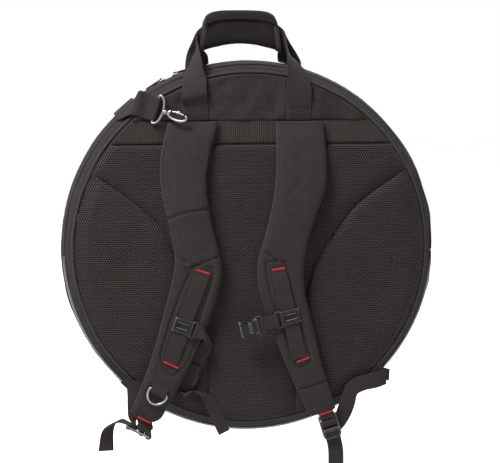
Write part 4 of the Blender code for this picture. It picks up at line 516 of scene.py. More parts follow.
def finishes():
    """The table of finishes: how each is made."""
    size = sizes()
    weave = size.weave_pitch
    return {
        "shell_fabric": lambda: cloth("shell_cloth", "shell", "plain_weave", weave, 0.3 * MM, patch=0.45),
        # The air mesh's holes are painted black as shade, and its raised yarns are painted up to twice as light.
        "air_mesh": lambda: cloth("spacer_mesh", "mesh", "air_mesh", size.mesh_pitch, 1.5 * MM, rough=0.9,
                                  patch=0.35, gloss=0.04, low=0.0, high=2.15),
        "ribbed_elastic": lambda: cloth("ribbed_elastic_cloth", "elastic", "standing_ribs", size.rib_pitch, 0.5 * MM,
                                        low=0.45, high=1.3),
        "strap_fabric": lambda: cloth("strap_cloth", "strap", "plain_weave", 0.8 * weave, 0.25 * MM, patch=0.4,
                                      fibre=1.1, lint=0.03),
        # The grip's finish is the strap cloth's weave in that darker colour: painted shade.
        "grip_shaded_cloth": lambda: cloth("grip_shaded_cloth", "grip_shaded", "plain_weave", 0.8 * weave, 0.25 * MM, patch=0.6),
        "webbing": lambda: cloth("woven_webbing", "webbing", "webbing_ribs", 1.5 * MM, 0.35 * MM, rough=0.75,
                                 gloss=0.08, sheen=0.04),
        "piping": lambda: cloth("piping_cloth", "binding", "plain_weave", 0.7 * weave, 0.2 * MM, rough=0.7,
                                gloss=0.2),
        "binding": lambda: cloth("binding_tape", "binding", "webbing_ribs", 0.9 * MM, 0.2 * MM, rough=0.7),
        "lining": lambda: cloth("lining_cloth", "lining", "plain_weave", 0.5 * weave, 0.12 * MM, rough=0.6,
                                gloss=0.3),
        "zip_tape": lambda: cloth("zip_tape_cloth", "tape", "webbing_ribs", 0.8 * MM, 0.15 * MM),
        "thread": lambda: cloth("sewing_thread", "thread", "webbing_ribs", 0.5 * MM, 0.1 * MM, rough=0.6),
        "tack": lambda: cloth("bartack_thread", "tack", "webbing_ribs", 0.5 * MM, 0.1 * MM, rough=0.5, gloss=0.3,
                              lint=0.0),
        "black_plastic": lambda: hard("moulded_plastic", "plastic", 0.42, 0.12, gloss=0.25),
        "shiny_plastic": lambda: hard("shiny_plastic", "plastic", 0.2, 0.7, gloss=0.14),
        "vinyl": lambda: hard("glossy_vinyl", "plastic", 0.2, 0.2, gloss=0.8, coat=0.6),
        "steel": lambda: hard("plated_steel", "steel", 0.32, 0.3, metallic=1.0),
    }


def finish_of(name):
    """A finish by its name, made the first time it is asked for."""
    made = bpy.data.materials.get(MADE.get(name, ""))
    if made is None:
        made = finishes()[name]()
        MADE[name] = made.name
    return made


MADE = {}


def trace(points, count):
    """Points of a Catmull-Rom curve at equal shares of its stations."""
    table = np.array(points, float)
    spans = len(table) - 1
    padded = np.vstack([2 * table[0] - table[1], table, 2 * table[-1] - table[-2]])
    share = np.linspace(0, spans, count + 1)
    step = np.minimum(share.astype(int), spans - 1)
    part = (share - step)[:, None]
    first, second, third, fourth = (padded[step + shift] for shift in range(4))
    return (second + (third - first) / 2 * part + (2 * first - 5 * second + 4 * third - fourth) / 2 * part ** 2
            + (3 * second - first - 3 * third + fourth) / 2 * part ** 3)


def even_trace(points, step, columns=3):
    """A Catmull-Rom curve resampled at equal lengths of its first columns."""
    fine = trace(points, 40 * (len(points) - 1))
    run = np.concatenate([[0], np.cumsum(np.linalg.norm(np.diff(fine[:, :columns], axis=0), axis=1))])
    count = max(2, int(run[-1] / step))
    places = np.linspace(0, run[-1], count + 1)
    return np.stack([np.interp(places, run, fine[:, column]) for column in range(fine.shape[1])], axis=1)


def unit_rows(vectors):
    """Vectors divided by their lengths."""
    return vectors / np.maximum(np.linalg.norm(vectors, axis=-1, keepdims=True), 1e-12)


def surface(name, rows, tube=False, closed=False, caps=False, sharp=None, uv=None):
    """A mesh object from rows of points. A tube joins each row's ends, a closed one joins first and last rows."""
    rows = np.asarray(rows, float)
    count, width = rows.shape[:2]
    wrapped = np.concatenate([rows, rows[:, :1]], axis=1) if tube else rows
    looped = np.concatenate([wrapped, wrapped[:1]], axis=0) if closed else wrapped
    if uv is None:
        across = np.cumsum(np.linalg.norm(np.diff(looped, axis=1), axis=2), axis=1)
        across = np.concatenate([np.zeros((len(looped), 1)), across], axis=1)
        across = across - across[:, -1:] / 2
        middle = looped.mean(axis=1)
        along = np.concatenate([[0], np.cumsum(np.linalg.norm(np.diff(middle, axis=0), axis=1))])
        uv = np.stack([across, np.repeat(along[:, None], across.shape[1], axis=1)], axis=2)
    faces, corners = [], []
    for row in range(len(looped) - 1):
        after = (row + 1) % count
        for column in range(wrapped.shape[1] - 1):
            beside = (column + 1) % width
            faces.append((row * width + column, row * width + beside, after * width + beside,
                          after * width + column))
            corners += [uv[row, column], uv[row, column + 1], uv[row + 1, column + 1], uv[row + 1, column]]
    points = rows.reshape(-1, 3)
    if caps:
        hubs = np.array([rows[0].mean(axis=0), rows[-1].mean(axis=0)])
        points = np.vstack([points, hubs])
        for end, row in enumerate((0, count - 1)):
            hub = count * width + end
            middle_uv = uv[row].mean(axis=0)
            for column in range(width):
                beside = (column + 1) % width
                pair = (column, beside) if end else (beside, column)
                faces.append((row * width + pair[0], row * width + pair[1], hub))
                ends = (column, column + 1) if end else (column + 1, column)
                corners += [uv[row, ends[0]], uv[row, ends[1]], middle_uv]
    mesh = bpy.data.meshes.new(name)
    mesh.from_pydata(points.tolist(), [], faces)
    layer = mesh.uv_layers.new(name="cloth")
    layer.data.foreach_set("uv", np.array(corners, np.float32).ravel())
    return own(name, mesh, sharp)


def own(name, mesh, sharp=None):
    """An object for a mesh, shaded smooth with edges sharper than an angle kept."""
    mesh.polygons.foreach_set("use_smooth", [True] * len(mesh.polygons))
    shape = bmesh.new()
    shape.from_mesh(mesh)
    bmesh.ops.recalc_face_normals(shape, faces=shape.faces)
    limit = math.radians(sharp or 70)
    for edge in shape.edges:
        if len(edge.link_faces) == 2 and edge.calc_face_angle(0.0) > limit:
            edge.smooth = False
    shape.to_mesh(mesh)
    shape.free()
    if not mesh.uv_layers:
        layer = mesh.uv_layers.new(name="cloth")
        places = [mesh.vertices[loop.vertex_index].co for loop in mesh.loops]
        layer.data.foreach_set("uv", np.array([(spot.x + spot.y, spot.z) for spot in places], np.float32).ravel())
    piece = bpy.data.objects.new(name, mesh)
    bpy.context.scene.collection.objects.link(piece)
    return piece


def thicken(piece, wall, offset=0.0):
    """Give a sheet a wall."""
    shell = piece.modifiers.new("wall", "SOLIDIFY")
    shell.thickness = wall
    shell.offset = offset
    shell.use_even_offset = True
    return piece


def put(piece, body, slot, finish=None, replaces=(), pad=None, bend=None):
    """Give a piece its finish and its body and hide the parts it replaces; a piece given a bend keeps its place and
    joins no body.
    """
    piece.data.materials.clear()
    piece.data.materials.append(finish_of(finish or slot))
    if bend:
        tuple(bend[1])
        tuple(bend[2])
        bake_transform(piece)
    else:
        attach(piece, body)
    if replaces:
        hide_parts(*replaces)
    return piece


def ripple(points, scale, seed=0.0):
    """Smooth noise, mostly from -1 to 1, at each point."""
    shift = Vector((seed, seed * 1.7, seed * 0.3))
    flat = np.asarray(points, float).reshape(-1, 3)
    found = np.array([1.8 * noise.noise(Vector(spot) * scale + shift) for spot in flat])
    return found.reshape(np.asarray(points).shape[:-1])


def distance_to(places, track):
    """How far flat places (across, up) lie from a polyline."""
    flat = np.asarray(places, float).reshape(-1, 1, 2)
    starts = np.array(track[:-1], float)[None]
    steps = np.array(track[1:], float)[None] - starts
    share = ((flat - starts) * steps).sum(-1) / np.maximum((steps ** 2).sum(-1), 1e-18)
    near = starts + np.clip(share, 0, 1)[..., None] * steps
    gap = np.linalg.norm(flat - near, axis=2).min(axis=1)
    return gap.reshape(np.asarray(places).shape[:-1])


def frame_at(spot, along, outward):
    """A frame whose x runs along, whose z faces outward and whose origin is the spot in millimetres."""
    x_axis = Vector(along).normalized()
    z_axis = (Vector(outward) - x_axis * Vector(outward).dot(x_axis)).normalized()
    turn = Matrix((x_axis, z_axis.cross(x_axis), z_axis)).transposed().to_4x4()
    return Matrix.Translation(Vector(spot) * MM) @ turn


def in_frame(frame_matrix, points):
    """Points in millimetres of a local frame, given in the bag's metres."""
    return np.array([list(frame_matrix @ (Vector(spot) * MM)) for spot in points])


def sweep(name, path, radius, sides=10, closed=False, caps=True, flat=1.0, stretch=None):
    """A round wire along a path; radius may be a number or one for each point, flat squeezes it across."""
    path = np.asarray(path, float)
    count = len(path)
    if closed:
        ahead = np.roll(path, -1, axis=0) - np.roll(path, 1, axis=0)
    else:
        ahead = np.gradient(path, axis=0)
    ahead = unit_rows(ahead)
    radii = np.full(count, radius) if np.isscalar(radius) else np.asarray(radius)
    guess = np.array(stretch if stretch is not None else (0.0, -1.0, 0.0))
    if abs(ahead[0] @ guess) > 0.9:
        guess = np.array((1.0, 0.0, 0.0))
    rows = []
    side = guess
    for index in range(count):
        side = side - ahead[index] * (side @ ahead[index])
        side = side / np.linalg.norm(side)
        other = np.cross(ahead[index], side)
        turns = np.arange(sides) * 2 * math.pi / sides
        ring = (path[index] + radii[index] * flat * np.cos(turns)[:, None] * side
                + radii[index] * np.sin(turns)[:, None] * other)
        rows.append(ring)
    return surface(name, rows, tube=True, closed=closed, caps=caps and not closed)


def weld_pieces(name, pieces):
    """One object from several, which go away."""
    shape = bmesh.new()
    for piece in pieces:
        piece.data.transform(piece.matrix_world)
        shape.from_mesh(piece.data)
        bpy.data.objects.remove(piece)
    mesh = bpy.data.meshes.new(name)
    shape.to_mesh(mesh)
    shape.free()
    made = bpy.data.objects.new(name, mesh)
    bpy.context.scene.collection.objects.link(made)
    return made


def plate(name, loops, depth, frame_matrix, bevel, sharp=35):
    """A flat moulding with holes and rounded edges from outlines in millimetres of its own frame."""
    curve = bpy.data.curves.new(name, "CURVE")
    curve.dimensions = "2D"
    curve.fill_mode = "BOTH"
    curve.extrude = (depth / 2 - bevel) * MM
    curve.bevel_depth = bevel * MM
    curve.bevel_resolution = 3
    curve.offset = -bevel * MM
    for loop in loops:
        spline = curve.splines.new("POLY")
        spline.points.add(len(loop) - 1)
        for point, corner in zip(spline.points, loop):
            point.co = (corner[0] * MM, corner[1] * MM, 0, 1)
        spline.use_cyclic_u = True
    maker = bpy.data.objects.new(name + "_maker", curve)
    bpy.context.scene.collection.objects.link(maker)
    bpy.context.view_layer.update()
    mesh = bpy.data.meshes.new_from_object(maker.evaluated_get(bpy.context.evaluated_depsgraph_get()))
    bpy.data.objects.remove(maker)
    mesh.name = name
    shape = bmesh.new()
    shape.from_mesh(mesh)
    bmesh.ops.remove_doubles(shape, verts=shape.verts, dist=0.005 * MM)
    shape.to_mesh(mesh)
    shape.free()
    while mesh.uv_layers:
        mesh.uv_layers.remove(mesh.uv_layers[0])
    mesh.transform(frame_matrix)
    return own(name, mesh, sharp)


def rounded(width, height, corner, steps=5, centre=(0, 0)):
    """The outline of a rectangle with round corners."""
    points = []
    for turn, (side, rise) in enumerate(((1, 1), (-1, 1), (-1, -1), (1, -1))):
        middle = (centre[0] + side * (width / 2 - corner), centre[1] + rise * (height / 2 - corner))
        for step in range(steps + 1):
            angle = (turn + step / steps) * math.pi / 2
            points.append((middle[0] + corner * math.cos(angle), middle[1] + corner * math.sin(angle)))
    return points


def squircle(count, across_power, rise_power):
    """Points of a squared oval half a unit out each way."""
    turns = np.arange(count) * 2 * math.pi / count
    across = np.sign(np.cos(turns)) * np.abs(np.cos(turns)) ** across_power
    rise = np.sign(np.sin(turns)) * np.abs(np.sin(turns)) ** rise_power
    return across / 2, rise / 2


def webbing_rows(stations, wall=WEBBING_WALL, step=2.2 * MM):
    """Rows round a flat webbing through stations (place and width vector, millimetres)."""
    line = even_trace(np.array(stations, float) * MM, step)
    middle, width = line[:, :3], line[:, 3:]
    ahead = unit_rows(np.gradient(middle, axis=0))
    out = unit_rows(np.cross(ahead, unit_rows(width)))
    across, rise = squircle(20, 0.3, 0.55)
    return (middle[:, None] + width[:, None] * across[None, :, None]
            + out[:, None] * rise[None, :, None] * wall)


def webbing(name, stations, body, replaces, **more):
    """A woven webbing piece."""
    piece = surface(name, webbing_rows(stations), tube=True, caps=True, sharp=80)
    return put(piece, body, "webbing", "webbing", replaces, **more)


def stitches(name, tracks, body, finish="thread", slot="webbing", pitch=None, bend=None):
    """Sewing thread along tracks, each points and the way that the cloth faces."""
    pitch = pitch or sizes().stitch_pitch
    radius = sizes().stitch_radius
    shape = bmesh.new()
    for points, outward in tracks:
        line = even_trace(points, pitch)
        for first, second in zip(line, line[1:]):
            ahead = second - first
            length = np.linalg.norm(ahead)
            if length < 1e-6:
                continue
            ahead = ahead / length
            side = np.cross(ahead, np.array(outward, float))
            side = side / np.linalg.norm(side) * radius
            lift = np.array(outward, float) * radius
            shares = ((0.12, 0.0), (0.26, 1.0), (0.74, 1.0), (0.88, 0.0))
            rings = []
            for share, swell in shares:
                spot = first + ahead * length * share
                if swell:
                    ring = [spot + side, spot + lift * 1.2, spot - side, spot - lift * 0.6]
                else:
                    ring = [spot - lift * 0.5]
                rings.append([shape.verts.new(corner) for corner in ring])
            for index in range(4):
                after = (index + 1) % 4
                shape.faces.new((rings[0][0], rings[1][after], rings[1][index]))
                shape.faces.new((rings[1][index], rings[1][after], rings[2][after], rings[2][index]))
                shape.faces.new((rings[2][index], rings[2][after], rings[3][0]))
    mesh = bpy.data.meshes.new(name)
    shape.to_mesh(mesh)
    shape.free()
    return put(own(name, mesh), body, slot, finish, bend=bend)


def puff(piece, held, pressure, cap, frames=16):
    """Let cloth under pressure swell between its held points, no further than a cap, and keep the result."""
    group = piece.vertex_groups.new(name="held")
    for index, weight in enumerate(held):
        group.add([index], float(weight), "REPLACE")
    soft = piece.modifiers.new("puff", "CLOTH")
    soft.settings.quality = 6
    soft.settings.mass = 0.25
    soft.settings.tension_stiffness = 25
    soft.settings.compression_stiffness = 8
    soft.settings.shear_stiffness = 8
    soft.settings.bending_stiffness = 0.6
    soft.settings.use_pressure = True
    soft.settings.uniform_pressure_force = pressure
    soft.settings.vertex_group_mass = "held"
    soft.settings.effector_weights.gravity = 0
    soft.point_cache.frame_start = 1
    soft.point_cache.frame_end = frames
    scene = bpy.context.scene
    for moment in range(1, frames + 1):
        scene.frame_set(moment)
    graph = bpy.context.evaluated_depsgraph_get()
    swollen = piece.evaluated_get(graph).data
    count = len(piece.data.vertices)
    before = np.zeros(count * 3)
    after = np.zeros(count * 3)
    piece.data.vertices.foreach_get("co", before)
    swollen.vertices.foreach_get("co", after)
    move = (after - before).reshape(-1, 3)
    reach = np.linalg.norm(move, axis=1, keepdims=True)
    move = move * np.minimum(1, cap * np.tanh(reach / cap) / np.maximum(reach, 1e-9))
    piece.modifiers.remove(soft)
    piece.vertex_groups.remove(group)
    piece.data.vertices.foreach_set("co", before + move.ravel())
    piece.data.update()
    scene.frame_set(1)
    return piece


def gusset_point(depth, angle, lift=0.0):
    """Places on the gusset's middle surface, raised outward by a lift."""
    middle = (FRONT_DEPTH - BACK_DEPTH) / 2
    half = (FRONT_DEPTH + BACK_DEPTH) / 2 - PIPING
    swell = np.maximum(0.0, 1 - ((np.asarray(depth, float) - middle) / half) ** 2)
    reach = EDGE + BULGE_RISE * swell + lift
    across = CENTRE.x + reach * np.cos(angle)
    up = CENTRE.z - BULGE_DROP * swell + reach * np.sin(angle)
    return np.stack(np.broadcast_arrays(across, CENTRE.y + depth, up), axis=-1)


def fold_angle(depth, side):
    """The angle at which the gusset meets the fold, just above it (side 1) or below it (side -1)."""
    middle = (FRONT_DEPTH - BACK_DEPTH) / 2
    half = (FRONT_DEPTH + BACK_DEPTH) / 2 - PIPING
    swell = np.maximum(0.0, 1 - ((np.asarray(depth, float) - middle) / half) ** 2)
    return np.arcsin((FOLD - CENTRE.z + BULGE_DROP * swell + side * SEAM) / (EDGE + BULGE_RISE * swell))


def gusset_angles(depth, side, rows):
    """Angles round the bag for rows of gusset above or below the fold, one column for each depth."""
    low = fold_angle(depth, side)
    share = np.linspace(0, 1, rows)[:, None]
    if side > 0:
        return low + (math.pi - 2 * low) * share
    return math.pi - low + (math.pi + 2 * low) * share


def pucker(along, pitch, seed):
    """Gathers along a seam: an uneven wave from -1 to 1."""
    drift = np.sin(along * 23 + seed) + 0.6 * np.sin(along * 61 + 2.3 * seed)
    return np.sin(along * 2 * math.pi / pitch + 1.8 * drift)


def gusset_strip(name, ends, side, wall, rows, lift=None, sag=1.0):
    """A strip of cloth round the bag between two depths, with gathers at its sewn edges."""
    columns = max(6, int((ends[1] - ends[0]) / (2.4 * MM)))
    share = np.linspace(0, 1, columns)
    depth = ends[0] + (ends[1] - ends[0]) * share
    depth = np.concatenate([depth, depth[::-3]])
    share = np.concatenate([share, share[::-3]])
    face = np.where(np.arange(len(share)) < columns, 1.0, -1.0)
    angles = gusset_angles(depth, side, rows)
    edge = np.minimum(share, 1 - share) * (ends[1] - ends[0])
    rim = np.clip(edge / (1.2 * MM), 0, 1)
    height = wall / 2 * face * (0.45 + 0.55 * np.sqrt(1 - (1 - rim) ** 2))
    raised = lift(share) if lift else 0.0
    places = gusset_point(depth[None], angles, 0.0)
    near = np.exp(-edge / (7 * MM))[None]
    run = angles * EDGE
    gathers = pucker(run, 13 * MM, 1.0) * near * 0.35 * MM
    middle = 1 - near
    folds = (ripple(places, 16, 3.0) * 1.3 + ripple(places, 48, 5.0) * 0.35) * MM * middle * sag
    rows_of = gusset_point(depth[None], angles, (height + raised)[None] + (gathers + folds) * (face > 0)[None])
    uv = np.stack(np.broadcast_arrays(depth[None], run), axis=-1)
    uv = np.concatenate([uv, uv[:, :1]], axis=1)
    return surface(name, rows_of, tube=True, caps=True, uv=uv)


def ring_path(depth, lift, start, stop, count):
    """A path on the gusset at one depth between two angles."""
    return gusset_point(depth, np.linspace(start, stop, count), lift)


def disc_rows(radius, steps, height, start, stop, count, middle):
    """Rows outward from a middle line for half-disc panels; height gives a depth for each place."""
    angles = np.linspace(start, stop, count)
    rim = np.stack([radius * np.cos(angles), radius * np.sin(angles)], axis=1)
    hub = np.stack([np.linspace(rim[0, 0], rim[-1, 0], count), np.full(count, middle)], axis=1)
    rows = []
    for share in steps:
        flat = hub + (rim - hub) * share
        rows.append(np.stack([CENTRE.x + flat[:, 0], height(flat[:, 0], flat[:, 1]), CENTRE.z + flat[:, 1]], axis=1))
    return rows


def round_in(gap, reach):
    """A quarter-round rise from 0 at an edge to 1 at a reach from it."""
    share = np.clip(gap / reach, 0, 1)
    return np.sqrt(1 - (1 - share) ** 2)


def dome(gap, reach):
    """A rise from 0 at an edge to 1 at a reach from it, steepest at the edge."""
    return 1 - (1 - np.clip(gap / reach, 0, 1)) ** 2.2


def smooth_in(gap, reach):
    """A soft rise from 0 at an edge to 1 at a reach from it."""
    share = np.clip(gap / reach, 0, 1)
    return share * share * (3 - 2 * share)


def half_panel(name, side, facing, outer, inner, radius, swell):
    """Half of a round panel, above (side 1) or below the fold, with a soft face and a flat back."""
    low = math.asin((FOLD - CENTRE.z + side * SEAM) / radius)
    start, stop = (low, math.pi - low) if side > 0 else (-low + math.pi * 0, -math.pi + low * 1)
    if side < 0:
        start, stop = low, -math.pi - low

    def height(across, up):
        gap = radius - np.hypot(across, up)
        fold_gap = np.abs(up - (FOLD - CENTRE.z))
        soft = round_in(gap, 9 * MM) * round_in(fold_gap, 6 * MM)
        spots = np.stack([across, np.full_like(across, outer), up], axis=-1)
        folds = ripple(spots, 9, 7.0) * 1.6 * MM + ripple(spots, 30, 9.0) * 0.4 * MM
        return outer - facing * 2.5 * MM + facing * (2.5 * MM + swell) * soft + folds * soft

    def flat(across, up):
        return np.full_like(across, inner)

    middle = FOLD - CENTRE.z + side * SEAM
    steps = np.concatenate([np.linspace(0, 0.02, 4), np.linspace(0.04, 0.94, 46), np.linspace(0.95, 1.0, 9)])
    rows = disc_rows(radius, steps, height, start, stop, 150, middle)
    rows += disc_rows(radius, np.linspace(1.0, 0.0, 9), flat, start, stop, 150, middle)
    rows = np.array(rows)
    looped = np.concatenate([rows, rows[:1]], axis=0)
    return surface(name, rows, closed=True, uv=looped[..., [0, 2]])


class BAG_OT_shell(bpy.types.Operator):
    """Sew the gusset, the front panels and the back panel"""
    bl_idname = "bag.shell"
    bl_label = "Shell"

    def execute(self, context):
        ends = (-BACK_DEPTH + PIPING + 2 * SEAM, FRONT_DEPTH - PIPING - 2 * SEAM)
        back = (ends[0], ZIP_DEPTH - ZIP_HALF - SEAM)
        front = (ZIP_DEPTH + ZIP_HALF + SEAM, ends[1])
        bend = ("front_flap", (CENTRE.x, FRONT_SEAT, FOLD), (CENTRE.x, FRONT_SEAT, FOLD + 30 * MM))
        put(gusset_strip("gusset_below", ends, -1, 4 * MM, 300), "bag", "shell_fabric",
            replaces=["gusset_lower"])
        put(gusset_strip("gusset_behind_zip", back, 1, 4 * MM, 300), "bag", "shell_fabric",
            replaces=["gusset_back_strip"])
        put(gusset_strip("gusset_before_zip", front, 1, 4 * MM, 260, sag=0.4), "bag", "shell_fabric",
            replaces=["gusset_front_strip"], bend=bend)
        radius = EDGE - PIPING - SEAM
        inner = FRONT_SEAT - 8 * MM
        put(half_panel("front_below", -1, 1, FRONT_SEAT, inner, radius, 0.0), "bag", "shell_fabric",
            replaces=["front_panel_lower"])
        put(half_panel("front_flap_panel", 1, 1, FRONT_SEAT, inner, radius, 1.5 * MM), "bag", "shell_fabric",
            replaces=["front_panel_upper"], bend=bend)
        self.back_board(radius)
        self.seam_threads(ends)
        return {"FINISHED"}

    def back_board(self, radius):
        """The padded back board with its lining, under the back's cover."""
        rows = []
        outer, inner = BACK_SEAT, BACK_SEAT + 8 * MM
        profile = [(0.02, outer), (0.5, outer), (0.97, outer), (0.995, outer + 1 * MM), (1.0, outer + 3 * MM),
                   (1.0, outer + 5 * MM), (0.99, inner - 0.6 * MM), (0.97, inner), (0.8, inner + 1.2 * MM),
                   (0.5, inner + 1.6 * MM), (0.02, inner + 1.8 * MM)]
        angles = np.linspace(0, 2 * math.pi, 121)[:-1]
        for share, depth in profile:
            rows.append(np.stack([CENTRE.x + radius * share * np.cos(angles), np.full(120, depth),
                                  CENTRE.z + radius * share * np.sin(angles)], axis=1))
        rows = np.array(rows)
        wrapped = np.concatenate([rows, rows[:, :1]], axis=1)
        board = surface("back_board", rows, tube=True, caps=True, uv=wrapped[..., [0, 2]])
        put(board, "bag", "lining", replaces=["back_panel"])

    def seam_threads(self, ends):
        """Rows of stitches beside the piping."""
        tracks = []
        for start, stop in ((0.0, 1.57), (1.57, 3.14), (3.14, 4.71), (4.71, 6.28)):
            path = ring_path(ends[0] + 4.2 * MM, 2.0 * MM, start, stop, 60)
            middle = (start + stop) / 2
            tracks.append((path, (math.cos(middle), 0, math.sin(middle))))
        stitches("gusset_stitches", tracks, "bag", slot="shell_fabric", pitch=4.5 * MM)


class BAG_OT_piping(bpy.types.Operator):
    """Cover the seams with piping, and lay the welts round the gusset"""
    bl_idname = "bag.piping"
    bl_label = "Piping and welts"

    def execute(self, context):
        radius = sizes().piping_radius
        turns = np.linspace(0, 2 * math.pi, 361)[:-1]

        def ring(depth, angles, reach=0.0):
            wave = ripple(np.stack([np.cos(angles), np.sin(angles), angles * 0], axis=-1), 9, depth * 50) * 0.5 * MM
            far = EDGE + reach + wave
            return np.stack([CENTRE.x + far * np.cos(angles), np.full(len(angles), CENTRE.y + depth),
                             CENTRE.z + far * np.sin(angles)], axis=1)

        back = sweep("piping_round_back", ring(-BACK_DEPTH, turns), radius, sides=12, closed=True)
        put(back, "bag", "piping", replaces=["piping_back"])
        low = math.asin((FOLD - CENTRE.z) / EDGE)
        above = np.linspace(low + 0.002, math.pi - low - 0.002, 200)
        below = np.linspace(math.pi - low + 0.002, 2 * math.pi + low - 0.002, 200)
        bend = ("front_flap", (CENTRE.x, FRONT_SEAT, FOLD), (CENTRE.x, FRONT_SEAT, FOLD + 30 * MM))
        put(sweep("piping_front_below", ring(FRONT_DEPTH, below), radius), "bag", "piping",
            replaces=["piping_front_lower"])
        put(sweep("piping_front_above", ring(FRONT_DEPTH, above), radius), "bag", "piping",
            replaces=["piping_front_upper"], bend=bend)
        self.welts()
        return {"FINISHED"}

    def welts(self):
        """A cloth welt above the fold on the back side, and glossy ones below it on both sides of the gusset."""
        count = 260
        for word, depth in (("back", -25 * MM), ("front", 37 * MM)):
            low = float(fold_angle(depth, 1))
            if word == "back":
                path = ring_path(depth, 2.6 * MM, low + 0.01, math.pi - low - 0.01, count)
                welt = sweep("welt_" + word, path, 1.7 * MM, sides=10)
                put(welt, "bag", "piping", "piping")
            path = ring_path(depth, 2.8 * MM, math.pi - low + 0.004, 2 * math.pi + low - 0.004, count)
            ends = np.minimum(np.arange(count), np.arange(count)[::-1])
            taper = 2.7 * MM * (0.5 + 0.5 * np.clip(ends / 4, 0, 1))
            guard = sweep("glossy_welt_" + word, path, taper, sides=12)
            put(guard, "bag", "piping", "vinyl")


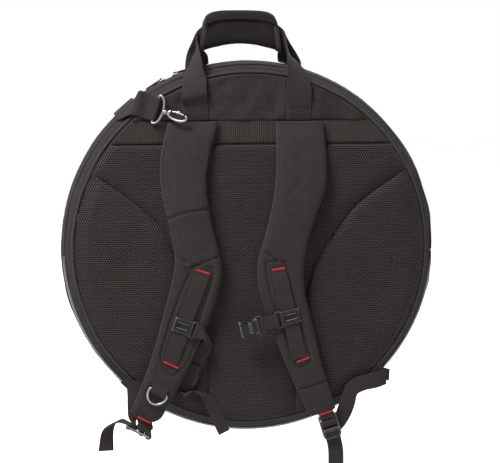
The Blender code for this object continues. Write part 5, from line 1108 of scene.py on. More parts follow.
class BAG_OT_cover(bpy.types.Operator):
    """Sew the yoke, the ribbed band and the three mesh pads over the back"""
    bl_idname = "bag.cover"
    bl_label = "Back cover"

    def execute(self, context):
        self.creases = [self.crease(table) for table in (LEFT_CREASE, RIGHT_CREASE)]
        self.yoke()
        self.band()
        self.pads()
        self.threads()
        return {"FINISHED"}

    def crease(self, table):
        """A crease as a dense line, across and up from the bag's middle."""
        return trace(np.array(table) * EDGE, 80)

    def rim(self, up):
        """Half the cover's width at a height."""
        return np.sqrt(np.maximum(COVER ** 2 - np.asarray(up) ** 2, 0))

    def at_crease(self, line, up):
        """Where a crease lies across the back at heights."""
        return np.interp(-np.asarray(up), -line[:, 1], line[:, 0])

    def panel(self, name, lefts, rights, heights, rise, columns):
        """A cover piece whose outer face stands off the back by rise(across, up)."""
        share = (1 - np.cos(np.linspace(0, math.pi, columns))) / 2
        across = lefts[:, None] + (rights - lefts)[:, None] * share
        up = np.repeat(heights[:, None], columns, axis=1)
        stand = rise(across, up)
        outer = np.stack([CENTRE.x + across, BACK_SEAT - SEAM - stand, CENTRE.z + up], axis=2)
        inner = np.stack([CENTRE.x + across, np.full_like(across, BACK_SEAT - SEAM), CENTRE.z + up], axis=2)
        rows = np.concatenate([outer, inner[:, ::-6]], axis=1)
        wrapped = np.concatenate([rows, rows[:, :1]], axis=1)
        return surface(name, rows, tube=True, caps=True, uv=wrapped[..., [0, 2]], sharp=80)

    def yoke(self):
        """The cloth yoke with drag folds that run from the handle's and the straps' feet."""
        low, high = HEM - CENTRE.z + SEAM, COVER - 0.3 * MM
        heights = low + (high - low) * (1 - np.cos(np.linspace(0, math.pi, 60))) / 2
        half = self.rim(heights)

        def rise(across, up):
            gap = COVER - np.hypot(across, up)
            hem_gap = up - low
            spots = np.stack([across, up, up * 0], axis=-1)
            warped = spots + (ripple(spots, 12, 2.0)[..., None] * 0.01)
            drag = ripple(np.stack([warped[..., 0] * 1.6, warped[..., 1] * 0.5, up * 0], axis=-1), 26, 4.0)
            feet = [-89 * MM, 78 * MM]
            pull = sum(np.exp(-((across - foot) / (34 * MM)) ** 2) for foot in feet)
            flat = sum(np.exp(-((across - foot) / (21 * MM)) ** 6) for foot in feet)
            dips = sum(np.exp(-((np.abs(across - foot) - 25 * MM) / (6 * MM)) ** 2) for foot in feet)
            slack = ripple(spots, 20, 8.0) * 1.8 * MM + drag * 3.2 * MM * (0.4 + 0.6 * np.clip(pull, 0, 1))
            fine = ripple(spots, 48, 9.0) * 1.3 * MM + ripple(spots, 100, 10.0) * 0.45 * MM
            slack = slack - dips * 0.7 * MM * smooth_in(hem_gap, 30 * MM)
            far_left = smooth_in(-across - 95 * MM, 30 * MM)
            folds = np.sin((across * 0.75 + up * 0.66) * 2 * math.pi / (19 * MM) + ripple(spots, 15, 1.0) * 2.5)
            slack = slack + folds * far_left * 1.2 * MM
            body = 2.9 * MM + (2.1 * MM * np.tanh(slack / (2.1 * MM)) + fine) * (1 - np.clip(flat, 0, 1))
            body = np.maximum(body, 0.6 * MM)
            return body * (0.3 + 0.7 * round_in(gap, 4 * MM)) * (0.55 + 0.45 * round_in(hem_gap, 3 * MM))

        piece = self.panel("yoke", -half, half, heights, rise, 170)
        put(piece, "bag", "shell_fabric", replaces=["yoke_panel"])

    def band(self):
        """The elastic band with standing ribs and a turned hem."""
        low, high = BAND_LOW - CENTRE.z, HEM - CENTRE.z - SEAM
        heights = np.linspace(low, high, 15)
        half = self.rim(heights) - 0.3 * MM
        pitch = sizes().rib_pitch
        columns = 900

        def wander(across, up):
            return ripple(np.stack([across, up * 3, up * 0], axis=-1), 14, 3.0) * 1.1 * MM

        def rise(across, up):
            gap = COVER - np.hypot(across, up)
            edge = np.minimum(up - low, (high - up) + 1.2 * MM)
            ribs = np.abs(np.sin((across + wander(across, up)) * math.pi / pitch)) ** 0.7
            wave = ripple(np.stack([across, up * 0.4, up * 0], axis=-1), 30, 6.0) * 0.35 * MM
            straps = sum(np.exp(-((across - foot) / (42 * MM)) ** 8) for foot in (-94 * MM, 78 * MM))
            stand = 2.1 * MM + 0.85 * MM * ribs + wave * (1 - np.clip(straps, 0, 1))
            stand = np.minimum(stand, 2.9 * MM + 0.9 * MM * (1 - np.clip(straps, 0, 1)))
            return stand * (0.35 + 0.65 * round_in(gap, 4 * MM)) * (0.35 + 0.65 * round_in(edge, 2.2 * MM))

        share = np.linspace(0, 1, columns)
        across = -half[:, None] + 2 * half[:, None] * share
        up = np.repeat(heights[:, None], columns, axis=1)
        stand = rise(across, up)
        outer = np.stack([CENTRE.x + across, BACK_SEAT - SEAM - stand, CENTRE.z + up], axis=2)
        inner = np.stack([CENTRE.x + across, np.full_like(across, BACK_SEAT - SEAM), CENTRE.z + up], axis=2)
        rows = np.concatenate([outer, inner[:, ::-60]], axis=1)
        wrapped = np.concatenate([rows, rows[:, :1]], axis=1)
        uv = wrapped[..., [0, 2]] - (CENTRE.x, 0)
        uv[..., 0] += wander(uv[..., 0], uv[..., 1] - CENTRE.z)
        piece = surface("elastic_band", rows, tube=True, caps=True, uv=uv, sharp=80)
        put(piece, "bag", "ribbed_elastic", replaces=["ribbed_band"])

    def pads(self):
        """Three pads of spacer mesh, which meet at two sewn creases."""
        size = sizes()
        crease, lobe, centre = size.crease_height, size.lobe_height, size.centre_height
        left_line, right_line = self.creases
        top = BAND_LOW - CENTRE.z - 0.8 * MM
        bottom = -COVER + 0.4 * MM

        def slack(across, up, seed):
            spots = np.stack([across, up, up * 0], axis=-1)
            return ripple(spots, 10, seed) * 0.8 * MM + ripple(spots, 34, seed + 4) * 0.4 * MM

        def centre_rise(across, up):
            places = np.stack([across, up], axis=-1)
            gap = np.minimum(distance_to(places, left_line), distance_to(places, right_line))
            rim_gap = COVER - np.hypot(across, up)
            soft = dome(gap, size.crease_reach)
            body = crease + (centre - crease + slack(across, up, 1.0)) * soft
            return body * (0.15 + 0.85 * dome(rim_gap, 14 * MM)) * (0.4 + 0.6 * round_in(top - up, 8 * MM))

        def lobe_rise(line, seed):
            def rise(across, up):
                gap = distance_to(np.stack([across, up], axis=-1), line)
                rim_gap = COVER - np.hypot(across, up)
                fall = 1 - 0.6 * smooth_in(gap - 15 * MM, 130 * MM)
                fall = fall * (1 - 0.16 * smooth_in(-up - 110 * MM, 70 * MM))
                body = crease + (lobe - crease) * round_in(gap, 15 * MM) * fall
                body = body + slack(across, up, seed) * smooth_in(gap, 25 * MM)
                return np.maximum(body * (0.1 + 0.9 * smooth_in(rim_gap, 24 * MM)), 0.4 * MM)
            return rise

        heights = np.concatenate([top - np.linspace(0, 9 * MM, 7)[:-1],
                                  np.linspace(top - 9 * MM, bottom + 9 * MM, 150),
                                  bottom + 9 * MM * (1 - np.linspace(0, 1, 8)[1:]) ** 1.5])
        half = self.rim(heights)
        lefts = np.maximum(-half, self.at_crease(left_line, heights) + SEAM)
        rights = np.minimum(half, self.at_crease(right_line, heights) - SEAM)
        piece = self.panel("pad_centre", lefts, rights, heights, centre_rise, 130)
        put(piece, "bag", "air_mesh", replaces=["mesh_pad_centre"], pad=0.5)
        for side, line, name in ((-1, left_line, "left"), (1, right_line, "right")):
            start = line[0, 1] - 4 * MM
            stop = -math.sqrt(COVER ** 2 - line[-1, 0] ** 2) + 1 * MM
            heights = start + (stop - start) * (1 - np.cos(np.linspace(0, math.pi, 150))) / 2
            half = self.rim(heights)
            inner = np.minimum(np.abs(self.at_crease(line, heights)) + SEAM, half - 0.5 * MM)
            lefts, rights = (-half, -inner) if side < 0 else (inner, half)
            piece = self.panel("pad_" + name, lefts, rights, heights, lobe_rise(line, 10.0 + side), 110)
            put(piece, "bag", "air_mesh", replaces=["mesh_pad_" + name], pad=0.8)

    def threads(self):
        """Stitches along the hem, the band and the rim of the yoke."""
        depth = BACK_SEAT - SEAM - 2.2 * MM
        tracks = []
        for up in (HEM + 2.6 * MM, HEM + 5.4 * MM):
            half = float(self.rim(up - CENTRE.z)) - 4 * MM
            tracks.append(([(CENTRE.x - half, depth, up), (CENTRE.x + half, depth, up)], (0, -1, 0)))
        low = HEM + 4 * MM - CENTRE.z
        first = math.asin(low / (COVER - 4 * MM))
        angles = np.linspace(first, math.pi - first, 60)
        ring = COVER - 3.6 * MM
        tracks.append((np.stack([CENTRE.x + ring * np.cos(angles), np.full(60, depth + 0.3 * MM),
                                 CENTRE.z + ring * np.sin(angles)], axis=1), (0, -1, 0)))
        stitches("yoke_stitches", tracks, "bag", slot="shell_fabric")


def coil(name, depth, lift, start, stop, pitch, radius):
    """A sewn-on spiral zip coil round the bag at a depth."""
    reach = EDGE + BULGE_RISE
    count = int(abs(stop - start) * reach / pitch) * 6
    angles = np.linspace(start, stop, count)
    turns = np.arange(count) * 2 * math.pi / 6
    path = gusset_point(depth + radius * np.cos(turns), angles, lift + radius * 0.8 * np.sin(turns))
    return sweep(name, path, 0.42 * MM, sides=5, stretch=(0, 1, 0))


def slider_piece(name, frame_matrix):
    """A zip slider: a waisted plate with its bridge, in millimetres of its frame."""
    outline = [(-5.5, -3.0), (-4.4, -4.3), (-1.5, -4.5), (1.5, -3.9), (4.2, -4.5), (5.5, -3.4), (5.5, 3.4),
               (4.2, 4.5), (1.5, 3.9), (-1.5, 4.5), (-4.4, 4.3), (-5.5, 3.0)]
    base = plate(name + "_base", [outline], 1.6, frame_matrix, 0.5)
    arch = [(-3.8, 0, 0.6), (-3.7, 0, 2.4), (-3.0, 0, 3.9), (-1.2, 0, 4.5), (1.2, 0, 4.5), (3.0, 0, 3.9),
            (3.7, 0, 2.4), (3.8, 0, 0.6)]
    path = even_trace(in_frame(frame_matrix, arch), 0.4 * MM)
    side = np.array(frame_matrix.to_3x3() @ Vector((0, 1, 0)))
    bridge = sweep(name + "_arch", path, 0.62 * MM, sides=10, flat=1.9, stretch=side)
    return weld_pieces(name, [base, bridge])


def pull_piece(name, frame_matrix, bow=0.0):
    """A zip pull: an eye and a grip with a slot; a bow lets its free end hang towards the gusset."""
    outer = rounded(31.4, 8, 2.4, centre=(14.3, 0))
    eye = rounded(4.4, 4.8, 1.0, centre=(3.2, 0))
    slot = rounded(11, 2.6, 1.2, centre=(20, 0))
    piece = plate(name, [outer, eye, slot], 1.5, frame_matrix, 0.5)
    back = frame_matrix.inverted()
    for point in piece.data.vertices:
        spot = back @ point.co
        spot.z -= bow * max(0.0, spot.x / (30 * MM)) ** 1.5
        point.co = frame_matrix @ spot
    return piece


class BAG_OT_main_zip(bpy.types.Operator):
    """Sew in the main zip with its coils, sliders and pulls"""
    bl_idname = "bag.main_zip"
    bl_label = "Main zip"

    def execute(self, context):
        bend = ("front_flap", (CENTRE.x, FRONT_SEAT, FOLD), (CENTRE.x, FRONT_SEAT, FOLD + 30 * MM))
        behind = (ZIP_DEPTH - ZIP_HALF, ZIP_DEPTH - SEAM)
        before = (ZIP_DEPTH + SEAM, ZIP_DEPTH + ZIP_HALF)
        tape = gusset_strip("main_tape_behind", behind, 1, 1.6 * MM, 260,
                            lambda share: 1.2 * MM * np.clip(share * 2 - 1, 0, 1), sag=0.0)
        put(tape, "bag", "zip_tape", replaces=["zip_tape_back"])
        tape = gusset_strip("main_tape_before", before, 1, 1.6 * MM, 260,
                            lambda share: 1.2 * MM * np.clip(1 - share * 2, 0, 1), sag=0.0)
        put(tape, "bag", "zip_tape", replaces=["zip_tape_front"], bend=bend)
        low = float(fold_angle(ZIP_DEPTH, 1)) + 0.01
        piece = coil("coil_behind", ZIP_DEPTH - 1.35 * MM, 2.0 * MM, low, math.pi - low, 2.6 * MM, 1.25 * MM)
        put(piece, "bag", "zip_tape", "black_plastic")
        piece = coil("coil_before", ZIP_DEPTH + 1.35 * MM, 2.0 * MM, low, math.pi - low, 2.6 * MM, 1.25 * MM)
        put(piece, "bag", "zip_tape", "black_plastic", bend=bend)
        for side, table in ZIP_FRAMES.items():
            spot, pivot, along, outward = table
            piece = slider_piece("slider_" + side, frame_at(spot, along, outward))
            put(piece, "zip_slider_" + side, "steel", replaces=["zip_slider_" + side])
            piece = pull_piece("pull_" + side, frame_at(pivot, along, outward), 3.2 * MM)
            put(piece, "zip_pull_" + side, "black_plastic", "black_plastic", replaces=["zip_pull_" + side])
        tracks = []
        for depth in (behind[0] - 2.2 * MM, before[1] + 2.2 * MM):
            tracks.append((ring_path(depth, 1.7 * MM, low, math.pi - low, 200), depth))
        for (path, depth), (word, body) in zip(tracks, (("behind", "bag"), ("before", "front_flap"))):
            parts = []
            for part in range(6):
                piece = path[part * 33:part * 33 + 36]
                middle = (Vector(piece[len(piece) // 2]) - CENTRE)
                parts.append((piece, (middle.x, 0, middle.z)))
            parts = [(piece, tuple(Vector(way).normalized())) for piece, way in parts]
            stitches("tape_stitches_" + word, parts, "bag", slot="shell_fabric", pitch=4.5 * MM,
                     bend=bend if body == "front_flap" else None)
        return {"FINISHED"}


class BAG_OT_pocket(bpy.types.Operator):
    """Sew the half-moon front pocket with its zip"""
    bl_idname = "bag.pocket"
    bl_label = "Front pocket"

    def execute(self, context):
        seat = FRONT_SEAT + SEAM
        face = seat + 30 * MM
        top, radius = -32 * MM, 262 * MM
        zip_up = -54 * MM
        start = math.asin(top / radius)
        angles = np.linspace(start, -math.pi - start, 200)
        arc_points = np.stack([radius * np.cos(angles), radius * np.sin(angles)], axis=1)
        chord = np.linspace(arc_points[-1], arc_points[0], 90)[1:-1]
        loop = np.vstack([arc_points, chord])
        loop = (loop + np.roll(loop, 1, 0) + np.roll(loop, -1, 0) + np.roll(loop, 2, 0) + np.roll(loop, -2, 0)) / 5
        hub = np.array([0, -125 * MM])
        profile = [(0.0, seat), (-0.6, seat + 5 * MM), (-1.2, seat + 11 * MM), (-1.0, seat + 17 * MM),
                   (0.0, seat + 22 * MM), (1.2, seat + 26 * MM), (3.2, seat + 28.7 * MM), (6.0, seat + 29.8 * MM),
                   (9.5, face)]
        insets = [9.5 + 3.2 * step for step in range(1, 44)]
        profile += [(inset, face) for inset in insets]
        rows = []
        for inset, depth in profile:
            share = max(0.01, 1 - inset * MM / (150 * MM))
            flat = hub + (loop - hub) * share
            spots = np.stack([flat[:, 0], np.full(len(flat), depth), flat[:, 1]], axis=1)
            calm = smooth_in(np.abs(flat[:, 1] - zip_up) - 12 * MM, 22 * MM) * smooth_in(inset * MM, 26 * MM)
            below = np.clip(-flat[:, 1] / radius, 0, 1)
            swell = (5 * MM * below + ripple(spots, 8, 4.0) * 2.6 * MM + ripple(spots, 26, 2.0) * 0.8 * MM) * calm
            side_folds = ripple(spots, 30, 6.0) * 0.9 * MM * (1 - smooth_in(inset * MM, 6 * MM))
            way = (loop - hub) / np.linalg.norm(loop - hub, axis=1, keepdims=True)
            flat = flat + way * (side_folds if seat + 4 * MM < depth < seat + 27 * MM else 0 * side_folds)[:, None]
            rows.append(np.stack([CENTRE.x + flat[:, 0], depth + swell, CENTRE.z + flat[:, 1]], axis=1))
        rows = np.array(rows)
        wrapped = np.concatenate([rows, rows[:, :1]], axis=1)
        piece = surface("pocket_shell", rows, tube=True, caps=True, uv=wrapped[..., [0, 2]])
        put(piece, "bag", "shell_fabric", replaces=["front_pocket"], pad=0.3)
        rim = hub + (loop - hub) * (1 - 1.6 * MM / (150 * MM))
        path = np.stack([CENTRE.x + rim[:, 0], np.full(len(rim), seat + 27.6 * MM), CENTRE.z + rim[:, 1]], axis=1)
        put(sweep("pocket_piping", path, 2.4 * MM, sides=10, closed=True), "bag", "piping")
        self.pocket_zip(face, zip_up)
        return {"FINISHED"}

    def pocket_zip(self, face, zip_up):
        """The pocket's zip tape, coil, slider and pull."""
        level = face + SEAM + 0.8 * MM
        base = frame_at((CENTRE.x / MM, level / MM, (CENTRE.z + zip_up) / MM), (1, 0, 0), (0, -1, 0))
        piece = plate("pocket_tape", [rounded(400, 23, 3)], 1.6, base, 0.4)
        put(piece, "bag", "zip_tape", replaces=["pocket_zip_tape"])
        count = int(392 / 2.4) * 6
        turns = np.arange(count) * 2 * math.pi / 6
        for word, sign in (("upper", 1), ("lower", -1)):
            across = np.linspace(CENTRE.x - 196 * MM, CENTRE.x + 196 * MM, count)
            up = CENTRE.z + zip_up + sign * 1.3 * MM + 1.2 * MM * np.cos(turns)
            path = np.stack([across, level + 1.2 * MM + 0.9 * MM * np.sin(turns), up], axis=1)
            put(sweep("pocket_coil_" + word, path, 0.42 * MM, sides=5), "bag", "zip_tape", "black_plastic")
        piece = slider_piece("pocket_zip_slider", frame_at((-136, 98.3, -388), (-1, 0, 0), (0, 1, 0)))
        put(piece, "pocket_slider", "steel", replaces=["pocket_slider"])
        piece = pull_piece("pocket_zip_pull", frame_at((-136, 100.6, -388), (-1, 0, 0), (0, 1, 0)))
        put(piece, "pocket_pull", "black_plastic", replaces=["pocket_pull"])
        tracks = []
        for sign in (-1, 1):
            up = CENTRE.z + zip_up + sign * 9.3 * MM
            depth = level + 0.9 * MM
            tracks.append(([(CENTRE.x - 194 * MM, depth, up), (CENTRE.x + 194 * MM, depth, up)], (0, 1, 0)))
        stitches("pocket_stitches", tracks, "bag", slot="zip_tape")


class BAG_OT_inside(bpy.types.Operator):
    """Sew the two padded dividers and the guard along the bottom"""
    bl_idname = "bag.inside"
    bl_label = "Dividers and guard"

    def execute(self, context):
        for word, depth in (("back", -10 * MM), ("front", 20 * MM)):
            self.divider(word, depth)
        self.guard()
        return {"FINISHED"}

    def divider(self, word, depth):
        """A round quilted divider with a bound edge."""
        up, radius = -350.63 * MM, 272 * MM
        angles = np.linspace(0, 2 * math.pi, 181)[:-1]
        shares = np.concatenate([np.linspace(0.01, 0.96, 60), (0.975, 0.985, 0.993, 0.998, 1.0)])
        rows = []
        for face in (-1, 1):
            part = []
            for share in shares:
                far = radius * share
                across, rise = far * np.cos(angles), far * np.sin(angles)
                first = np.abs(np.sin((across + rise) * math.pi / (60 * MM)))
                second = np.abs(np.sin((across - rise) * math.pi / (60 * MM)))
                quilt = np.clip(np.minimum(first, second) * 4, 0, 1) ** 0.5
                half = (1.7 * MM + 0.75 * MM * quilt) * round_in(np.array(radius - far), 2.4 * MM) + 0.02 * MM
                half = half + (0.25 * MM if share > 0.96 and share < 0.995 else 0.0)
                part.append(np.stack([CENTRE.x + across, depth + face * half, up + rise], axis=1))
            rows += part if face < 0 else part[::-1][1:]
        rows = np.array(rows)
        wrapped = np.concatenate([rows, rows[:, :1]], axis=1)
        piece = surface("divider_pad_" + word, rows, tube=True, caps=True, uv=wrapped[..., [0, 2]])
        put(piece, "divider_" + word, "lining", replaces=["divider_" + word], pad=0.4)

    def guard(self):
        """A quilted strip that lines the bottom."""
        radius = 291.9 * MM
        angles = np.radians(np.linspace(-138, -42, 140))
        depth = np.concatenate([np.linspace(-31, 31, 26), np.linspace(31, -31, 10)]) * MM
        face = np.concatenate([np.full(26, -1.0), np.full(10, 1.0)])
        edge = np.minimum(31 * MM - np.abs(depth), 3 * MM)
        quilt = np.clip(np.abs(np.sin((angles + math.pi / 2) * radius * math.pi / (48 * MM))) * 4, 0.3, 1) ** 0.5
        half = 2.9 * MM * (0.3 + 0.7 * round_in(edge, 3 * MM))
        reach = radius + face[None] * half[None] * np.where(face[None] < 0, quilt[:, None], 1.0)
        rows = np.stack([CENTRE.x + reach * np.cos(angles)[:, None],
                         np.repeat((CENTRE.y + depth)[None], len(angles), axis=0),
                         CENTRE.z + reach * np.sin(angles)[:, None]], axis=2)
        put(surface("guard_pad", rows, tube=True, caps=True), "bag", "lining", replaces=["bottom_guard"], pad=0.4)


def grip_place(angle, lift, share):
    """Places round the arched grip, a lift outside its padding's middle."""
    half_depth = 12.5 * MM + lift
    half_height = 22.5 * MM + lift
    across = np.sign(np.cos(angle)) * np.abs(np.cos(angle)) ** 0.6
    rise = np.sign(np.sin(angle)) * np.abs(np.sin(angle)) ** 0.6
    far = 2 * share - 1
    high = (1 + rise) / 2
    droop = high * (4 * MM * far ** 2 + 9 * MM * far ** 8) + (1 - high) * 16 * MM * far ** 2
    return np.stack(np.broadcast_arrays(63 * MM * far * (1 - 0.07 * rise), half_depth * across,
                                        25 * MM + half_height * rise - droop), axis=-1)


class BAG_OT_handle(bpy.types.Operator):
    """Sew the carry handle: two webbing loops in a padded grip"""
    bl_idname = "bag.handle"
    bl_label = "Carry handle"

    def execute(self, context):
        webbing("handle_loop_back", HANDLE_BACK, "bag", ["handle_webbing_back"])
        webbing("handle_loop_front", HANDLE_FRONT, "bag", ["handle_webbing_front"])
        self.wrap()
        self.flap()
        self.feet()
        return {"FINISHED"}

    def wrap(self):
        """The padded wrap round both loops, with bound ends."""
        shares = np.concatenate([(0.0, 0.004, 0.012), np.linspace(0.03, 0.97, 64), (0.988, 0.996, 1.0)])
        angles = np.radians(np.linspace(98, 450, 90))
        outer = []
        inner = []
        for share in shares:
            ends = min(share, 1 - share) * 126 * MM
            soft = float(round_in(np.array(ends - 6 * MM), 12 * MM)) if ends > 6 * MM else 0.0
            spots = grip_place(angles, 0.0, share)
            creases = ripple(spots, 38, 2.0) * 1.2 * MM + pucker(angles * 18 * MM, 9 * MM, 3.0) * 0.35 * MM * (1 - soft)
            thick = 2.3 * MM * (0.75 + 0.25 * soft) + creases * (0.4 + 0.6 * soft) + 0.9 * MM * soft
            thick = np.minimum(thick, 2.5 * MM + 1.2 * MM * (angles > math.radians(140)))
            outer.append(grip_place(angles, thick, share))
            inner.append(grip_place(angles, -2.4 * MM, share))
        rows = np.concatenate([np.array(outer), np.array(inner)[:, ::-1]], axis=1)
        piece = surface("grip_padding", rows, tube=True, caps=False, sharp=80)
        # The padding wears the darker copy of the strap cloth: painted shade.
        put(piece, "bag", "strap_fabric", "grip_shaded_cloth", ["grip_wrap"], pad=0.7)
        for word, end in (("left", 0.0), ("right", 1.0)):
            inward = 1 if end == 0 else -1
            section = [(-0.9, -2.9), (-1.1, 0.0), (-0.9, 2.6), (0.4, 3.3), (3.5, 3.5), (7.2, 3.4), (7.9, 2.7),
                       (7.4, 2.2), (2.0, 0.0), (7.4, -2.2), (7.9, -2.7), (3.5, -3.3), (0.2, -3.2)]
            rows = []
            for along, lift in section:
                share = end + inward * along / 126
                rows.append(grip_place(angles, np.full(len(angles), lift * MM), share))
            rows = np.swapaxes(np.array(rows), 0, 1)
            put(surface("grip_binding_" + word, rows, tube=True, caps=True, sharp=80), "bag", "strap_fabric",
                "binding")

    def flap(self):
        """The closing flap over the top of the grip, with its free edge towards the harness side."""
        angles = np.radians(np.linspace(20, 164, 56))
        shares = np.linspace(0.02, 0.98, 60)
        rows = []
        for share in shares:
            ends = min(share - 0.02, 0.98 - share) * 126 * MM
            rim = np.minimum(np.array(ends), np.minimum(angles - angles[0], angles[-1] - angles) * 24 * MM)
            half = 1.0 * MM * (0.4 + 0.6 * round_in(rim, 1.5 * MM))
            wave = ripple(grip_place(angles, 0.0, share), 30, 6.0) * 0.5 * MM
            seam = -0.45 * MM * np.exp(-((rim - 5 * MM) / (1.0 * MM)) ** 2)
            rise = 3.9 * MM + 1.4 * MM * (angles - angles[0]) / (angles[-1] - angles[0]) + wave
            outer = grip_place(angles, rise + half + seam, share)
            inner = grip_place(angles, rise - half, share)
            rows.append(np.concatenate([outer, inner[::-1]]))
        piece = surface("grip_closing_flap", np.array(rows), tube=True, caps=True, sharp=80)
        # The flap wears the darker copy of the strap cloth: painted shade.
        put(piece, "grip_flap", "strap_fabric", "grip_shaded_cloth", ["grip_flap"])

    def feet(self):
        """Stitches that hold the handle's feet."""
        tracks = []
        for middle in (-75, 92):
            for up in (-99, -102, -114, -117, -120):
                line = [(middle - 17, -44.9, up), (middle + 17, -44.9, up)]
                tracks.append((np.array(line) * MM, (0, -1, 0)))
            for first, last in ((-1, 1), (1, -1)):
                line = [(middle + first * 17, -44.9, -102), (middle + last * 17, -44.9, -114)]
                tracks.append((np.array(line) * MM, (0, -1, 0)))
        stitches("handle_stitches", tracks, "bag", pitch=2.8 * MM)


def strap_line(table, corner):
    """Even rows down a strap: both edges (across and up), the stand off the back and the run from the top."""
    stations = [(left[0] * EDGE + CENTRE.x, left[1] * EDGE + CENTRE.z, right[0] * EDGE + CENTRE.x,
                 right[1] * EDGE + CENTRE.z, stand) for (left, right), stand in zip(table, STANDS)]
    fine = trace(stations, 480)
    middle = (fine[:, :2] + fine[:, 2:4]) / 2
    run = np.concatenate([[0], np.cumsum(np.linalg.norm(np.diff(middle, axis=0), axis=1))])
    places = np.linspace(0, run[-1], int(run[-1] / (2.2 * MM)))
    line = np.stack([np.interp(places, run, fine[:, column]) for column in range(5)], axis=1)
    share = np.clip((run[-1] - places) / corner, 0, 1)
    inset = corner * (1 - np.sqrt(1 - (1 - share) ** 2))[:, None]
    width = unit_rows(line[:, 2:4] - line[:, :2])
    line[:, :2] += width * inset
    line[:, 2:4] -= width * inset
    return line, places


def inside(places, loop):
    """Which flat places lie inside a closed line."""
    flat = np.asarray(places, float).reshape(-1, 2)
    within = np.zeros(len(flat), bool)
    for first, second in zip(loop, loop[1:]):
        crossing = (first[1] > flat[:, 1]) != (second[1] > flat[:, 1])
        if first[1] != second[1]:
            share = (flat[:, 1] - first[1]) / (second[1] - first[1])
            within ^= crossing & (flat[:, 0] < first[0] + share * (second[0] - first[0]))
    return within.reshape(np.asarray(places).shape[:-1])


def soften(points, step=3.0):
    """A sewn line through points in millimetres, in metres."""
    return even_trace(np.array(points, float) * MM, step * MM, columns=2)


